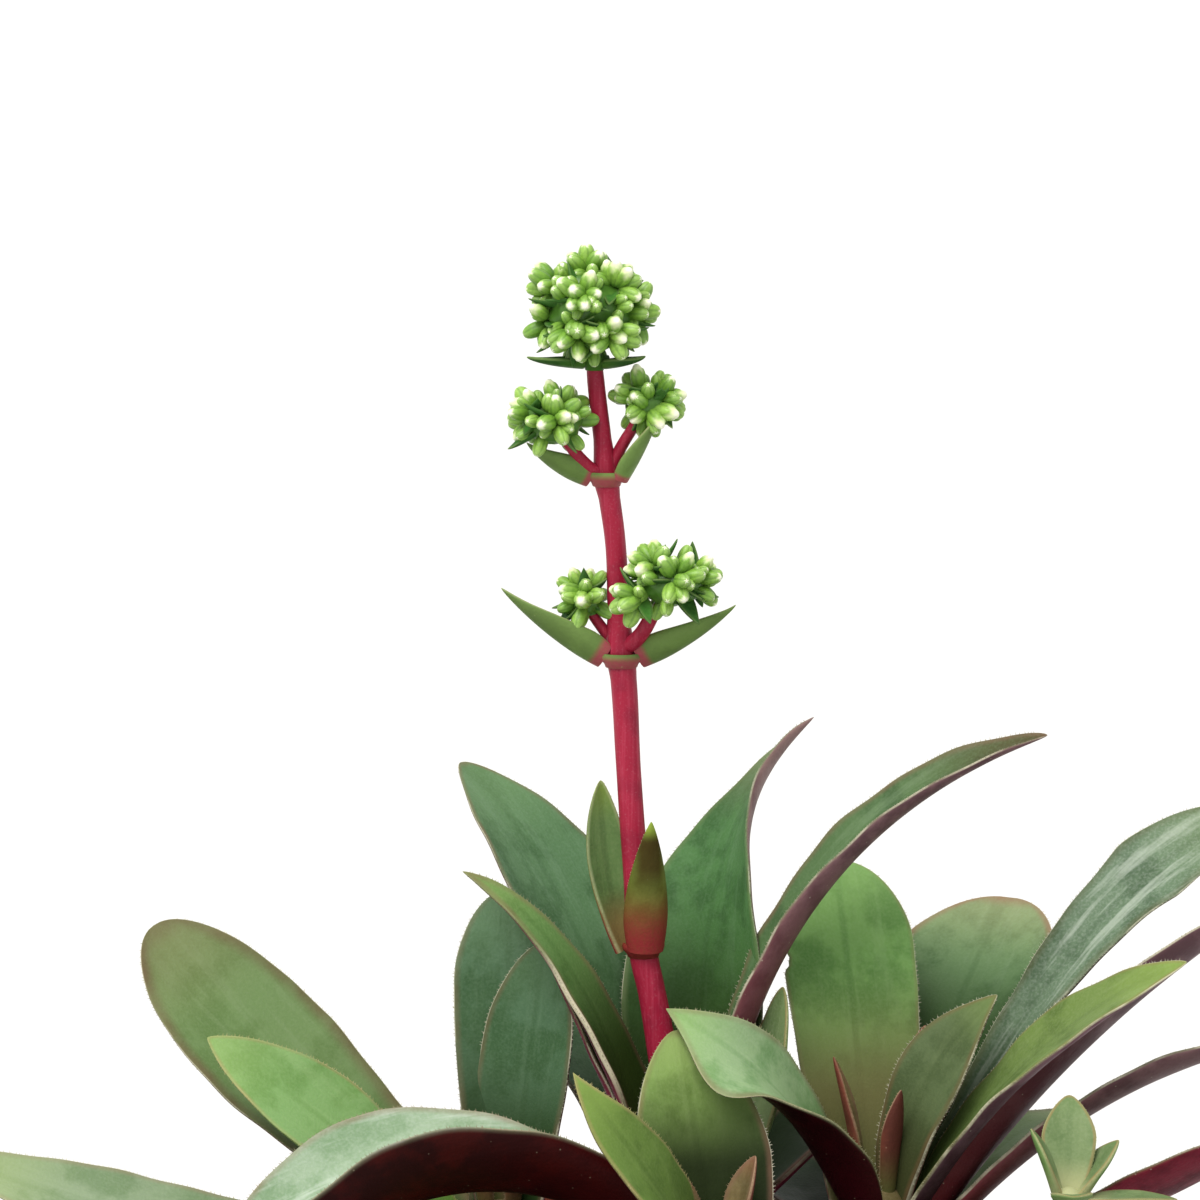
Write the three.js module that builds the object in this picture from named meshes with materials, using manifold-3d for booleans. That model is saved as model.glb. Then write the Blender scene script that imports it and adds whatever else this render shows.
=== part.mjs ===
// Potted Crassula rosularis in flower.
//
// Four rosettes of long channelled leaves stand on short crowns in the soil of a round nursery pot. One red
// stalk rises from the main rosette with pairs of bracts and five heads of buds, and a small offset plantlet
// hangs on a runner at the right.
//
// Millimetres and degrees. X runs to the right, Y away from the viewer and Z up. The origin is the middle of
// the pot's flat underside.
import * as THREE from 'three';
import { mergeVertices } from 'three/addons/utils/BufferGeometryUtils.js';
import Module from 'manifold-3d';

const wasm = await Module();
wasm.setup();

// Shared sizes
const CLEARANCE = 0.3; // gap kept between neighbouring pieces
const WELD = 1e-4; // vertices closer than this are one
const LEAF = { sides: 8, rings: 8, thickness: 1.9 }; // corners round a section, and sections along a leaf
const YOUNG_LEAF = { sides: 6, rings: 5, thickness: 1.5 };
const BRACT = { sides: 6, rings: 5, thickness: 1.2 };
const GOLDEN_ANGLE = 137.508; // turn from one young leaf to the next

// Pot
const POT = {
  sides: 28,
  height: 80,
  baseRadius: 31,
  neckRadius: 41.5, // outside of the wall just below the rim band
  rimRadius: 45,
  bandHeight: 14,
  bandStep: 1.8, // how far the rim band stands out from the wall
  lip: 1.4, // height and half width of the bead along the rim
  wall: 1.4,
  floor: 2,
  foot: 1, // chamfer round the underside
};
const DRAIN = { count: 6, radius: 3.5, ring: 21, sides: 6 };

// Soil
const SOIL = { sides: 20, level: 75.5, rings: 3, relief: 0.7 };

// Flower stalk: x, z and radius from the foot up, in a plane parallel to the view
const STALK_Y = 4;
const STALK_SIDES = 8;
const STALK = [
  [6.4, 84.5, 2.0], [5.4, 90, 2.0], [3.4, 100.5, 1.9], [1.5, 111.4, 1.7], [0.5, 116.1, 1.75],
  [-0.5, 127, 1.55], [-1.35, 139.1, 1.5], [-1.95, 149.9, 1.6], [-2.3, 153, 1.85], [-2.6, 158, 1.3],
  [-2.9, 166, 1.25], [-3.65, 171.8, 1.3], [-4.0, 174, 1.55], [-4.5, 179, 1.1], [-5.3, 186, 1.05],
  [-5.6, 190, 0.9],
];
// Red branches of the side heads, from inside the stalk to inside each head
const BRANCHES = [
  { from: [-2.3, 4, 153.2], over: [-4.2, 4.4, 155.6], to: [-6.4, 4.8, 158.6], radius: 0.7 },
  { from: [-2.3, 4, 153.2], over: [0.0, 2.2, 155.4], to: [2.2, 0.6, 159.6], radius: 0.95 },
  { from: [-4.0, 4, 174], over: [-6.6, 2.8, 176.2], to: [-9.6, 1.6, 180.0], radius: 0.75 },
  { from: [-4.0, 4, 174], over: [-2.6, 4, 177.4], to: [-0.2, 4, 181.4], radius: 0.75 },
];

// Bract pairs: each bract's heading, rise at base and tip, length and width
const BRACT_PAIRS = [
  {
    name: 'bracts_first', z: 116.6, collar: 0.6,
    bracts: [
      {
        heading: 180, rise: [72, 92], bend: 1, length: 21.2, width: 6.2, cup: [60, 34], point: 0.6,
        roll: [-60, -64], widest: 0.55, foot: 0.5,
      },
      {
        heading: 284, rise: [86, 82], length: 16.5, width: 6.6, cup: [75, 40], point: 0.85, widest: 0.25,
        foot: 0.8,
      },
    ],
  },
  {
    name: 'bracts_second', z: 152.2, collar: 0.6,
    bracts: [
      {
        heading: 184, rise: [30, 44], length: 15.2, width: 6, cup: [60, 40], point: 1, roll: [38, 20],
        widest: 0.2, foot: 0.8,
      },
      {
        heading: 352, rise: [24, 40], length: 13.6, width: 5.6, cup: [60, 40], point: 1, roll: [-38, -20],
        widest: 0.2, foot: 0.8,
      },
    ],
  },
  {
    name: 'bracts_third', z: 174.2, collar: 0.6,
    bracts: [
      {
        heading: 190, rise: [22, 42], length: 9, width: 4.6, cup: [60, 35], point: 1, roll: [40, 25],
        widest: 0.25, foot: 0.8,
      },
      {
        heading: 335, rise: [56, 64], length: 9, width: 4.2, cup: [60, 35], point: 1, widest: 0.3, foot: 0.7,
      },
    ],
  },
  {
    name: 'bracts_fourth', z: 188.2, collar: 0.6,
    bracts: [
      {
        heading: 195, rise: [2, 14], length: 7, width: 3.8, cup: [40, 20], point: 1, widest: 0.3, foot: 0.7,
      },
      {
        heading: 335, rise: [4, 20], length: 5.4, width: 3.4, cup: [40, 20], point: 1, widest: 0.3, foot: 0.7,
      },
    ],
  },
];

// Bud heads: each cluster's azimuth, elevation, reach from the head's middle and number of buds
const BUD = { radius: 1.05, halfLength: 1.75, out: 2.3, sides: 5, spread: 50 };
const BUD_OUTLINE = [[0, -1], [1, 0.1], [0.62, 0.84], [0, 1]]; // shares of a bud's radius and half length
const HEAD_CORE = { sides: 8, rings: 6 };
const BUD_HEADS = [
  {
    name: 'bud_head_top', at: [-5.8, 4, 194.4], core: [5.7, 5.7, 5.2], foot: [-5.5, 4, 189.0],
    clusters: [
      [180, 84, 4.2, 6], [190, 34, 4.8, 5], [318, 40, 4.5, 6], [352, 0, 4.7, 5], [188, -14, 4.8, 5],
      [246, -26, 4.6, 6], [300, -26, 4.7, 6], [256, 24, 4.5, 6], [112, 4, 4.4, 5], [48, 2, 4.6, 5],
    ],
    scales: [
      [202, 12, 8.6], [335, 28, 7.8], [350, -12, 8.2], [190, -36, 8.6], [215, -22, 7.8], [330, -38, 7.8],
    ],
  },
  {
    name: 'bud_head_mid_left', at: [-10.6, 1.2, 181.4], core: [3.8, 3.4, 2.8], foot: [-9.2, 1.7, 179.6],
    clusters: [[185, 20, 2.0, 6], [285, 10, 2.0, 6], [50, 35, 1.8, 6]],
    scales: [[198, -30, 6.6], [300, 10, 5.2]],
  },
  {
    name: 'bud_head_mid_right', at: [0.9, 4, 183.4], core: [2.9, 2.9, 2.5], foot: [-0.3, 4, 181.0],
    clusters: [[0, 15, 1.2, 6], [205, 40, 1.1, 5], [275, -30, 1.0, 5]],
    scales: [[10, -25, 4.8], [240, 30, 4.6]],
  },
  {
    name: 'bud_head_low_left', at: [-6.4, 4.8, 159.6], core: [2.2, 2.2, 2.2], foot: [-5.9, 4.7, 157.6],
    clusters: [[180, 60, 0.3, 6], [262, -10, 0.3, 4]],
    scales: [[200, -40, 5.2]],
  },
  {
    name: 'bud_head_low_right', at: [3.6, -1.0, 162.2], core: [4.0, 3.2, 2.9], foot: [2.0, 0.8, 159.0],
    clusters: [[5, 10, 2.6, 6], [190, 44, 2.3, 6], [285, 15, 2.0, 6], [196, -22, 3.9, 6]],
    scales: [[350, -15, 6.4], [325, -48, 6.6]],
  },
];

// Crowns: short stems, each with a fan of young leaves at its heart
const CROWN = { sides: 10, foot: 66, footRadius: 3.2, headRadius: 3.4, neck: 8 };
const ROSETTES = [
  {
    name: 'main', at: [6, 4], top: 88, radius: 4.4,
    heart: { count: 2, first: 300, rise: [80, 72], length: 14, width: 5 },
    leaves: [
      {
        name: 'tall_left', level: 83, heading: 143, rise: [70, 36], bend: 2, length: 63.5, width: 23,
        cup: [50, 15], point: 0.55, widest: 0.62,
      },
      {
        name: 'tall_right', level: 84, heading: 80, turn: -64, rise: [79, 38], bend: 2.2, length: 65,
        width: 20.5, cup: [32, 46], roll: [0, -36], point: 1, widest: 0.45,
      },
      {
        name: 'arch_right', level: 84, heading: 356, rise: [86, 16], length: 77, width: 11.5,
        cup: [68, 48], roll: [2, 20],
      },
      {
        name: 'inner_left', level: 86, heading: 186, rise: [69, 26], bend: 3, length: 49, width: 9.5,
        cup: [40, 18], roll: [-25, -52], widest: 0.3, foot: 0.7, point: 0.85,
      },
      { name: 'slender', level: 82, heading: 345, rise: [66, 84], length: 32, width: 8.5 },
      { name: 'back', level: 80, heading: 98, rise: [44, 6], length: 56, width: 15 },
      { name: 'back_left', level: 79, heading: 119, rise: [52, 18], length: 44, width: 14 },
      { name: 'back_right', level: 79, heading: 40, rise: [40, 8], length: 50, width: 14 },
    ],
  },
  {
    name: 'left', at: [-17, 2], top: 84, radius: 4.2,
    heart: { count: 3, first: 200, rise: [82, 72], length: 14, width: 5 },
    leaves: [
      {
        name: 'blunt', level: 82, heading: 86, rise: [74, 66], length: 42, width: 13.5,
        cup: [35, 10], point: 0.1, widest: 0.72,
      },
      {
        name: 'small', level: 83, heading: 64, rise: [71, 74], length: 34, width: 15, point: 0.3,
        foot: 0.65,
      },
      {
        name: 'big', level: 79, heading: 160, rise: [28, 49], bend: 0.6, length: 58, width: 20.5,
        roll: [-20, -45], point: 0.1,
      },
      {
        name: 'light', level: 78, heading: 184, rise: [46, 35], length: 43.5, width: 14.5,
        roll: [-25, -55], point: 0.8,
      },
      { name: 'low', level: 78, heading: 188, rise: [3, 28], length: 66, width: 16, roll: [-10, -40] },
      { name: 'back', level: 78, heading: 118, rise: [18, -6], length: 54, width: 15 },
      { name: 'back_low', level: 78, heading: 142, rise: [6, -14], length: 42, width: 14 },
      { name: 'front_low', level: 77, heading: 232, rise: [22, -26], length: 52, width: 15 },
      { name: 'front', level: 78, heading: 262, rise: [30, -20], length: 44, width: 14 },
    ],
  },
  {
    name: 'right', at: [29, 0], top: 87, radius: 4.2,
    heart: { count: 3, first: 35, rise: [80, 68], length: 22, width: 4.8 },
    leaves: [
      {
        name: 'upright', level: 84, heading: 106, rise: [74, 66], length: 44, width: 17.4,
        cup: [30, 10], point: 0, widest: 0.74, foot: 0.62,
      },
      {
        name: 'broad', level: 82, heading: 56, rise: [62, 38], length: 47.5, width: 25,
        cup: [32, 10], point: 0, widest: 0.62,
      },
      {
        name: 'long', level: 82, heading: 18, rise: [58.5, 14], bend: 2.5, length: 72, width: 11.5,
        roll: [20, 40], widest: 0.75, foot: 0.2, swell: 0.85,
      },
      {
        name: 'light', level: 82, heading: 338, rise: [61, 26], length: 52, width: 12,
        cup: [42, 22], roll: [15, 36], point: 0.8,
      },
      { name: 'maroon', level: 79, heading: 0, rise: [56, 30], length: 66, width: 13, roll: [-20, -30] },
      { name: 'thin', level: 77, heading: 352, rise: [52, 8], length: 60, width: 9, roll: [-10, -30] },
      {
        name: 'corner', level: 76, heading: 338, rise: [20, 38], length: 57, width: 18, roll: [-10, -20],
      },
      {
        name: 'short', level: 86, heading: 350, turn: 8, rise: [89, 44], bend: 0.9, length: 29.5,
        width: 10, cup: [30, 16], roll: [60, 35], point: 0.8,
      },
      {
        name: 'fold_left', level: 84, heading: 214, turn: -32, rise: [60, 31], length: 39, width: 16.5,
        cup: [80, 20], roll: [12, -68], point: 1, widest: 0.45,
      },
      { name: 'front_low', level: 77, heading: 290, rise: [20, -28], length: 52, width: 14 },
      { name: 'back_low', level: 78, heading: 82, rise: [28, 0], length: 56, width: 14 },
      { name: 'back_left', level: 78, heading: 114, rise: [16, 2], length: 42, width: 13 },
      { name: 'back_right', level: 78, heading: 54, rise: [26, -2], length: 46, width: 14 },
    ],
  },
  {
    name: 'front', at: [9, -22], top: 84, radius: 4.0,
    heart: { count: 2, first: 30, rise: [80, 68], length: 14, width: 5.5 },
    leaves: [
      {
        name: 'arch_left', level: 79, heading: 184, rise: [78, -57], bend: 0.69, length: 68, width: 31,
        cup: [80, 70], point: 0.5, roll: [17, -25],
      },
      {
        name: 'tip_left', level: 81, heading: 225, turn: -60, rise: [60, 54], length: 32, width: 14,
        roll: [-10, -40], point: 1, widest: 0.35,
      },
      {
        name: 'face', level: 82, heading: 112, rise: [80, 68], length: 29.5, width: 18, point: 0.4,
        widest: 0.45, foot: 0.7,
      },
      { name: 'low_left', level: 77, heading: 240, rise: [24, -30], length: 46, width: 14 },
      { name: 'low_right', level: 77, heading: 315, rise: [26, -30], length: 48, width: 14 },
    ],
  },
];

// Offset plantlet on its runner
const PLANTLET = {
  name: 'offset_plantlet',
  runner: [[31.5, -3.5, 79.5], [34.5, -9, 83.5], [41.5, -19, 87.2], [49.6, -23.5, 91.6]],
  runnerSteps: 6,
  radius: 0.8,
  core: { at: [50, -23.5, 91.8], radius: 1.9, sides: 6, rings: 4 },
  blades: [
    { heading: 85, rise: [74, 68], length: 12.5, width: 7.5, point: 0.3 },
    { heading: 170, rise: [72, 60], length: 9.5, width: 4.5, point: 0.6 },
    { heading: 15, rise: [58, 46], length: 9, width: 5, point: 0.7 },
    { heading: 350, rise: [8, 0], length: 12, width: 5, point: 0.8 },
    { heading: 270, rise: [30, 10], length: 6.5, width: 5, point: 0.5 },
  ],
};

// Colours and finishes
const plastic = new THREE.MeshStandardMaterial({ color: 0x9a5238, roughness: 0.5, metalness: 0 });
const earth = new THREE.MeshStandardMaterial({ color: 0x3a2a20, roughness: 0.95, metalness: 0 });
const leafGreen = new THREE.MeshStandardMaterial({ color: 0x5f7f5b, roughness: 0.55, metalness: 0 });
const crownGreen = new THREE.MeshStandardMaterial({ color: 0x7a8f52, roughness: 0.6, metalness: 0 });
const stalkRed = new THREE.MeshStandardMaterial({ color: 0xb8304f, roughness: 0.5, metalness: 0 });
const bractGreen = new THREE.MeshStandardMaterial({ color: 0x7c8a3f, roughness: 0.55, metalness: 0 });
const budGreen = new THREE.MeshStandardMaterial({ color: 0x8dbb55, roughness: 0.5, metalness: 0 });
const paleGreen = new THREE.MeshStandardMaterial({ color: 0xa9bf6d, roughness: 0.55, metalness: 0 });

const radians = THREE.MathUtils.degToRad;
const mix = THREE.MathUtils.lerp;

// A three.js geometry as a solid, with its seams welded and its faces pointing out
function solidFrom(geometry) {
  const bare = geometry.clone();
  bare.deleteAttribute('normal');
  bare.deleteAttribute('uv');
  const welded = mergeVertices(bare, WELD);
  const points = welded.attributes.position;
  const corners = welded.index.array;
  const triangles = [];
  let volume = 0;
  const [a, b, c] = [new THREE.Vector3(), new THREE.Vector3(), new THREE.Vector3()];
  for (let i = 0; i < corners.length; i += 3) {
    const [p, q, r] = [corners[i], corners[i + 1], corners[i + 2]];
    if (p === q || q === r || r === p) continue;
    triangles.push(p, q, r);
    a.fromBufferAttribute(points, p);
    b.fromBufferAttribute(points, q);
    c.fromBufferAttribute(points, r);
    volume += a.dot(b.cross(c));
  }
  if (volume < 0) triangles.reverse();
  return new wasm.Manifold(new wasm.Mesh({
    numProp: 3,
    vertProperties: Float32Array.from(points.array),
    triVerts: Uint32Array.from(triangles),
  }));
}

// The largest body of a solid that a cut may have split
function largestBody(solid) {
  return solid.decompose().reduce((best, body) => (body.volume() > best.volume() ? body : best));
}

// The shapes of the pieces already in place, each grown by the clearance
const placed = [];

function boxesMeet(one, other) {
  const [p, q] = [one.boundingBox(), other.boundingBox()];
  return [0, 1, 2].every((axis) => p.min[axis] <= q.max[axis] && q.min[axis] <= p.max[axis]);
}

// A solid with its clearance to every piece already in place cut out of it
function keptClear(solid) {
  let kept = solid;
  for (const grown of placed) {
    if (boxesMeet(kept, grown)) kept = kept.subtract(grown);
  }
  return largestBody(kept);
}

// A mesh in a group, with its own origin at the piece's anchor
function addPiece(group, name, solid, grown, material, anchor) {
  const { vertProperties, triVerts } = solid.getMesh();
  const geometry = new THREE.BufferGeometry();
  geometry.setAttribute('position', new THREE.BufferAttribute(vertProperties, 3));
  geometry.setIndex(new THREE.BufferAttribute(triVerts, 1));
  geometry.translate(-anchor.x, -anchor.y, -anchor.z);
  geometry.computeVertexNormals();
  const mesh = new THREE.Mesh(geometry, material);
  mesh.name = name;
  mesh.position.copy(anchor).sub(group.position);
  group.add(mesh);
  placed.push(grown);
}

// A closed lathe round the Z axis, from profile points of radius and height
function lathe(profile, sides, x = 0, y = 0) {
  const points = profile.map(([radius, z]) => new THREE.Vector2(radius, z));
  const geometry = new THREE.LatheGeometry(points, sides);
  geometry.rotateX(Math.PI / 2);
  geometry.translate(x, y, 0);
  return geometry;
}

// A round stem along a smooth curve, from points of x, y, z and radius
function stem(points, sides, steps, grow = 0) {
  const curve = new THREE.CatmullRomCurve3(points.map(([x, y, z]) => new THREE.Vector3(x, y, z)));
  const frames = curve.computeFrenetFrames(steps, false);
  const geometry = new THREE.CylinderGeometry(1, 1, 1, sides, steps);
  const spots = geometry.attributes.position;
  for (let i = 0; i < spots.count; i += 1) {
    const step = Math.round((spots.getY(i) + 0.5) * steps);
    const along = (step / steps) * (points.length - 1);
    const before = Math.min(Math.floor(along), points.length - 2);
    const radius = mix(points[before][3], points[before + 1][3], along - before) + grow;
    const end = (step === steps) - (step === 0);
    const spot = curve.getPoint(step / steps)
      .addScaledVector(curve.getTangent(step / steps), end * grow)
      .addScaledVector(frames.normals[step], spots.getX(i) * radius)
      .addScaledVector(frames.binormals[step], spots.getZ(i) * radius);
    spots.setXYZ(i, spot.x, spot.y, spot.z);
  }
  return solidFrom(geometry);
}

// Half width of a leaf as a share of its widest, from base to tip
const FOOT_SHARE = 0.4; // share at a blade's foot, unless it says otherwise
const SWELL = 1.8; // how early a blade widens, unless it says otherwise
function spread(t, { point = 0.6, widest = 0.6, foot = FOOT_SHARE, swell = SWELL }) {
  if (t < widest) return 1 - (1 - foot) * (1 - t / widest) ** swell;
  const q = (t - widest) / (1 - widest);
  return mix(Math.sqrt(Math.max(0, 1 - q * q)), 1 - q ** 1.5, point);
}

// Place and directions of a leaf's midrib at a share t of its length
const MIDRIB_STEPS = 48;
function midrib(leaf, start, t) {
  const { heading, turn = 0, rise, bend = 1.3, length } = leaf;
  const spot = start.clone();
  const along = new THREE.Vector3();
  const steps = Math.max(1, Math.round(t * MIDRIB_STEPS));
  const aim = (share) => {
    const angle = radians(heading + turn * share * share);
    const slope = radians(mix(rise[0], rise[1], share ** bend));
    along.set(Math.cos(slope) * Math.cos(angle), Math.cos(slope) * Math.sin(angle), Math.sin(slope));
    return angle;
  };
  for (let i = 0; i < steps; i += 1) {
    aim(((i + 0.5) / steps) * t);
    spot.addScaledVector(along, (length * t) / steps);
  }
  const angle = aim(t);
  const side = new THREE.Vector3(-Math.sin(angle), Math.cos(angle), 0);
  const up = new THREE.Vector3().crossVectors(along, side);
  return { spot, along: along.clone(), side, up };
}

// A leaf: a sphere's grid laid out along the midrib, flat at the base, channelled and plump in section
const TOP_SHARE = 0.4; // part of the thickness above the midrib's sheet
const EASE = 1.4; // crowds the sections towards the tip
function blade(leaf, start, kind, grow = 0) {
  const { width, roll = [0, 0], cup = [42, 16] } = leaf;
  const { sides, rings, thickness } = kind;
  const geometry = new THREE.SphereGeometry(1, sides, rings);
  const spots = geometry.attributes.position;
  const uv = geometry.attributes.uv;
  for (let i = 0; i < spots.count; i += 1) {
    const ring = Math.round((1 - uv.getY(i)) * rings);
    const t = ring === 0 ? 0 : 1 - (1 - (ring - 1) / (rings - 1)) ** EASE;
    const { spot, along, side, up } = midrib(leaf, start, t);
    const end = (ring === rings) - (ring <= 1);
    spot.addScaledVector(along, end * grow);
    if (ring > 0 && ring < rings) {
      const turned = radians(mix(roll[0], roll[1], t * t));
      const across = side.clone().multiplyScalar(Math.cos(turned)).addScaledVector(up, Math.sin(turned));
      const out = up.clone().multiplyScalar(Math.cos(turned)).addScaledVector(side, -Math.sin(turned));
      const halfWidth = (width / 2) * spread(t, leaf);
      const curl = halfWidth / radians(mix(cup[0], cup[1], t));
      const arc = (halfWidth + grow) / curl;
      const phi = (2 * Math.PI * Math.round(uv.getX(i) * sides)) / sides;
      const angle = Math.cos(phi) * arc;
      const face = -Math.sin(phi);
      const share = face > 0 ? TOP_SHARE : 1 - TOP_SHARE;
      const depth = Math.sign(face) * Math.abs(face) ** 0.6 * (share * thickness * (1 - 0.5 * t) + grow);
      spot.addScaledVector(across, (curl - depth) * Math.sin(angle));
      spot.addScaledVector(out, curl - (curl - depth) * Math.cos(angle));
    }
    spots.setXYZ(i, spot.x, spot.y, spot.z);
  }
  return solidFrom(geometry);
}

// A point at a distance from another, in a direction of azimuth and elevation
function reachFrom(centre, azimuth, elevation, distance) {
  const flat = Math.cos(radians(elevation)) * distance;
  const aside = [Math.cos(radians(azimuth)) * flat, Math.sin(radians(azimuth)) * flat];
  return new THREE.Vector3(centre.x + aside[0], centre.y + aside[1],
    centre.z + Math.sin(radians(elevation)) * distance);
}

// A ball stretched by its three half sizes, each grown by the same amount
function ball(centre, halves, { sides, rings }, grow = 0) {
  const geometry = new THREE.SphereGeometry(1, sides, rings);
  geometry.rotateX(Math.PI / 2);
  geometry.scale(...halves.map((half) => half + grow));
  geometry.translate(centre.x, centre.y, centre.z);
  return solidFrom(geometry);
}

// Pot
function potWall(grow) {
  const { height, baseRadius, neckRadius, rimRadius, bandHeight, bandStep, lip, wall, floor, foot } = POT;
  const neck = height - bandHeight;
  const band = neckRadius + bandStep;
  const top = height + grow;
  const outside = [
    [0, 0], [baseRadius - foot, 0], [baseRadius, foot], [neckRadius, neck - bandStep / 2],
    [band, neck + bandStep / 2], [rimRadius - lip / 2, height - 2 * lip], [rimRadius, height - 1.5 * lip],
    [rimRadius, height - lip / 2],
  ];
  const inside = [
    [rimRadius - 2 * lip, height - lip / 2], [band - wall, neck + 1.5 * bandStep],
    [neckRadius - wall, neck - bandStep / 2], [baseRadius - wall, floor],
  ];
  return lathe([
    ...outside.map(([radius, z]) => [radius > 0 ? radius + grow : 0, z]),
    [rimRadius - lip / 2, top], [rimRadius - 1.6 * lip, top],
    ...inside.map(([radius, z]) => [radius - grow, z]),
    [0, floor],
  ], POT.sides);
}

function pot(grow = 0) {
  const holes = [];
  for (let i = 0; i < DRAIN.count; i += 1) {
    const angle = (2 * Math.PI * i) / DRAIN.count;
    const hole = new THREE.CylinderGeometry(DRAIN.radius, DRAIN.radius, 3 * POT.floor, DRAIN.sides);
    hole.rotateX(Math.PI / 2);
    hole.translate(DRAIN.ring * Math.cos(angle), DRAIN.ring * Math.sin(angle), POT.floor / 2);
    holes.push(solidFrom(hole));
  }
  return solidFrom(potWall(grow)).subtract(wasm.Manifold.union(holes));
}

// Soil: a plug that follows the pot's inside, with a lumpy top
function soil(grow = 0) {
  const { height, baseRadius, neckRadius, rimRadius, bandHeight, bandStep, lip, wall, floor } = POT;
  const neck = height - bandHeight;
  const band = neckRadius + bandStep;
  const innerRim = rimRadius - 2 * lip;
  const upShare = (SOIL.level - neck) / bandHeight;
  const edge = mix(band - wall, innerRim, upShare) - 2 * CLEARANCE;
  const profile = [
    [0, floor + CLEARANCE], [baseRadius - wall - 2 * CLEARANCE, floor + CLEARANCE],
    [neckRadius - wall - 2 * CLEARANCE, neck + bandStep], [edge, SOIL.level - 1],
  ];
  for (let i = SOIL.rings; i > 0; i -= 1) profile.push([(edge - 1) * (i / SOIL.rings), SOIL.level]);
  profile.push([0, SOIL.level]);
  const geometry = lathe(profile, SOIL.sides);
  const spots = geometry.attributes.position;
  for (let i = 0; i < spots.count; i += 1) {
    const [x, y, z] = [spots.getX(i), spots.getY(i), spots.getZ(i)];
    if (z < SOIL.level - 0.5) continue;
    const lumps = Math.sin(x * 0.31 + 1.3) * Math.cos(y * 0.27 - 0.6) + 0.6 * Math.sin(x * 0.71 - y * 0.83);
    spots.setZ(i, z + SOIL.relief * lumps + grow);
  }
  return solidFrom(geometry);
}

// Crowns
function crownRadius(rosette, z) {
  const share = THREE.MathUtils.clamp((z - rosette.top + CROWN.neck) / CROWN.neck, 0, 1);
  return mix(rosette.radius, CROWN.headRadius, share);
}

function crown(rosette, grow = 0) {
  const [x, y] = rosette.at;
  const { foot, footRadius, headRadius, neck, sides } = CROWN;
  const stub = solidFrom(lathe([
    [0, foot - grow], [footRadius + grow, foot - grow], [rosette.radius + grow, foot + 6],
    [rosette.radius + grow, rosette.top - neck], [headRadius + grow, rosette.top],
    [headRadius * 0.5 + grow, rosette.top + 1.6 + grow], [0, rosette.top + 2 + grow],
  ], sides, x, y));
  const { count, first, rise, length, width } = rosette.heart;
  const young = [];
  for (let i = 0; i < count; i += 1) {
    const shrink = 1 - 0.16 * i;
    const heading = first + GOLDEN_ANGLE * i;
    const start = reachFrom(new THREE.Vector3(x, y, rosette.top - 1), heading, 0, headRadius * 0.45);
    const leaf = {
      heading, rise: [rise[0] + 2 * i, rise[1] + 4 * i], length: length * shrink, width: width * shrink,
      cup: [50, 35],
    };
    young.push(blade(leaf, start, YOUNG_LEAF, grow));
  }
  return wasm.Manifold.union([stub, ...young]);
}

// Flower stalk with its branches
const STALK_STEPS = 16;
const BRANCH_SIDES = 6;
const BRANCH_STEPS = 4;
function flowerStalk(grow = 0) {
  const main = stem(STALK.map(([x, z, radius]) => [x, STALK_Y, z, radius]), STALK_SIDES, STALK_STEPS, grow);
  const branches = BRANCHES.map(({ from, over, to, radius }) => (
    stem([from, over, to].map((point) => [...point, radius]), BRANCH_SIDES, BRANCH_STEPS, grow)));
  return wasm.Manifold.union([main, ...branches]);
}

// Where the stalk's middle is at a height, with its radius there
function stalkAt(height) {
  const above = STALK.findIndex(([, z]) => z >= height);
  const [low, high] = [STALK[above - 1], STALK[above]];
  const share = (height - low[1]) / (high[1] - low[1]);
  return { x: mix(low[0], high[0], share), radius: mix(low[2], high[2], share) };
}

// A pair of bracts joined by a collar round the stalk
const COLLAR_SIDES = 8;
const COLLAR_HEIGHT = 1.8;
function bractPair(pair, grow = 0) {
  const { x, radius } = stalkAt(pair.z);
  const outer = radius + CLEARANCE + pair.collar + grow;
  const half = COLLAR_HEIGHT / 2 + grow;
  const collar = solidFrom(lathe([
    [0, pair.z - half], [outer - 0.4, pair.z - half], [outer, pair.z], [outer - 0.4, pair.z + half],
    [0, pair.z + half],
  ], COLLAR_SIDES, x, STALK_Y));
  const blades = pair.bracts.map((bract) => {
    const start = reachFrom(new THREE.Vector3(x, STALK_Y, pair.z), bract.heading, 0, radius + 0.5);
    return blade(bract, start, BRACT, grow);
  });
  return wasm.Manifold.union([collar, ...blades]);
}

// One bud: plump, with a blunt tip that points along a direction
function bud(middle, direction, grow) {
  const outline = BUD_OUTLINE.map(([across, along]) => (
    new THREE.Vector2(across * (BUD.radius + grow), along * (BUD.halfLength + grow))));
  const geometry = new THREE.LatheGeometry(outline, BUD.sides);
  geometry.applyQuaternion(new THREE.Quaternion().setFromUnitVectors(new THREE.Vector3(0, 1, 0), direction));
  geometry.translate(middle.x, middle.y, middle.z);
  return solidFrom(geometry);
}

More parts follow.
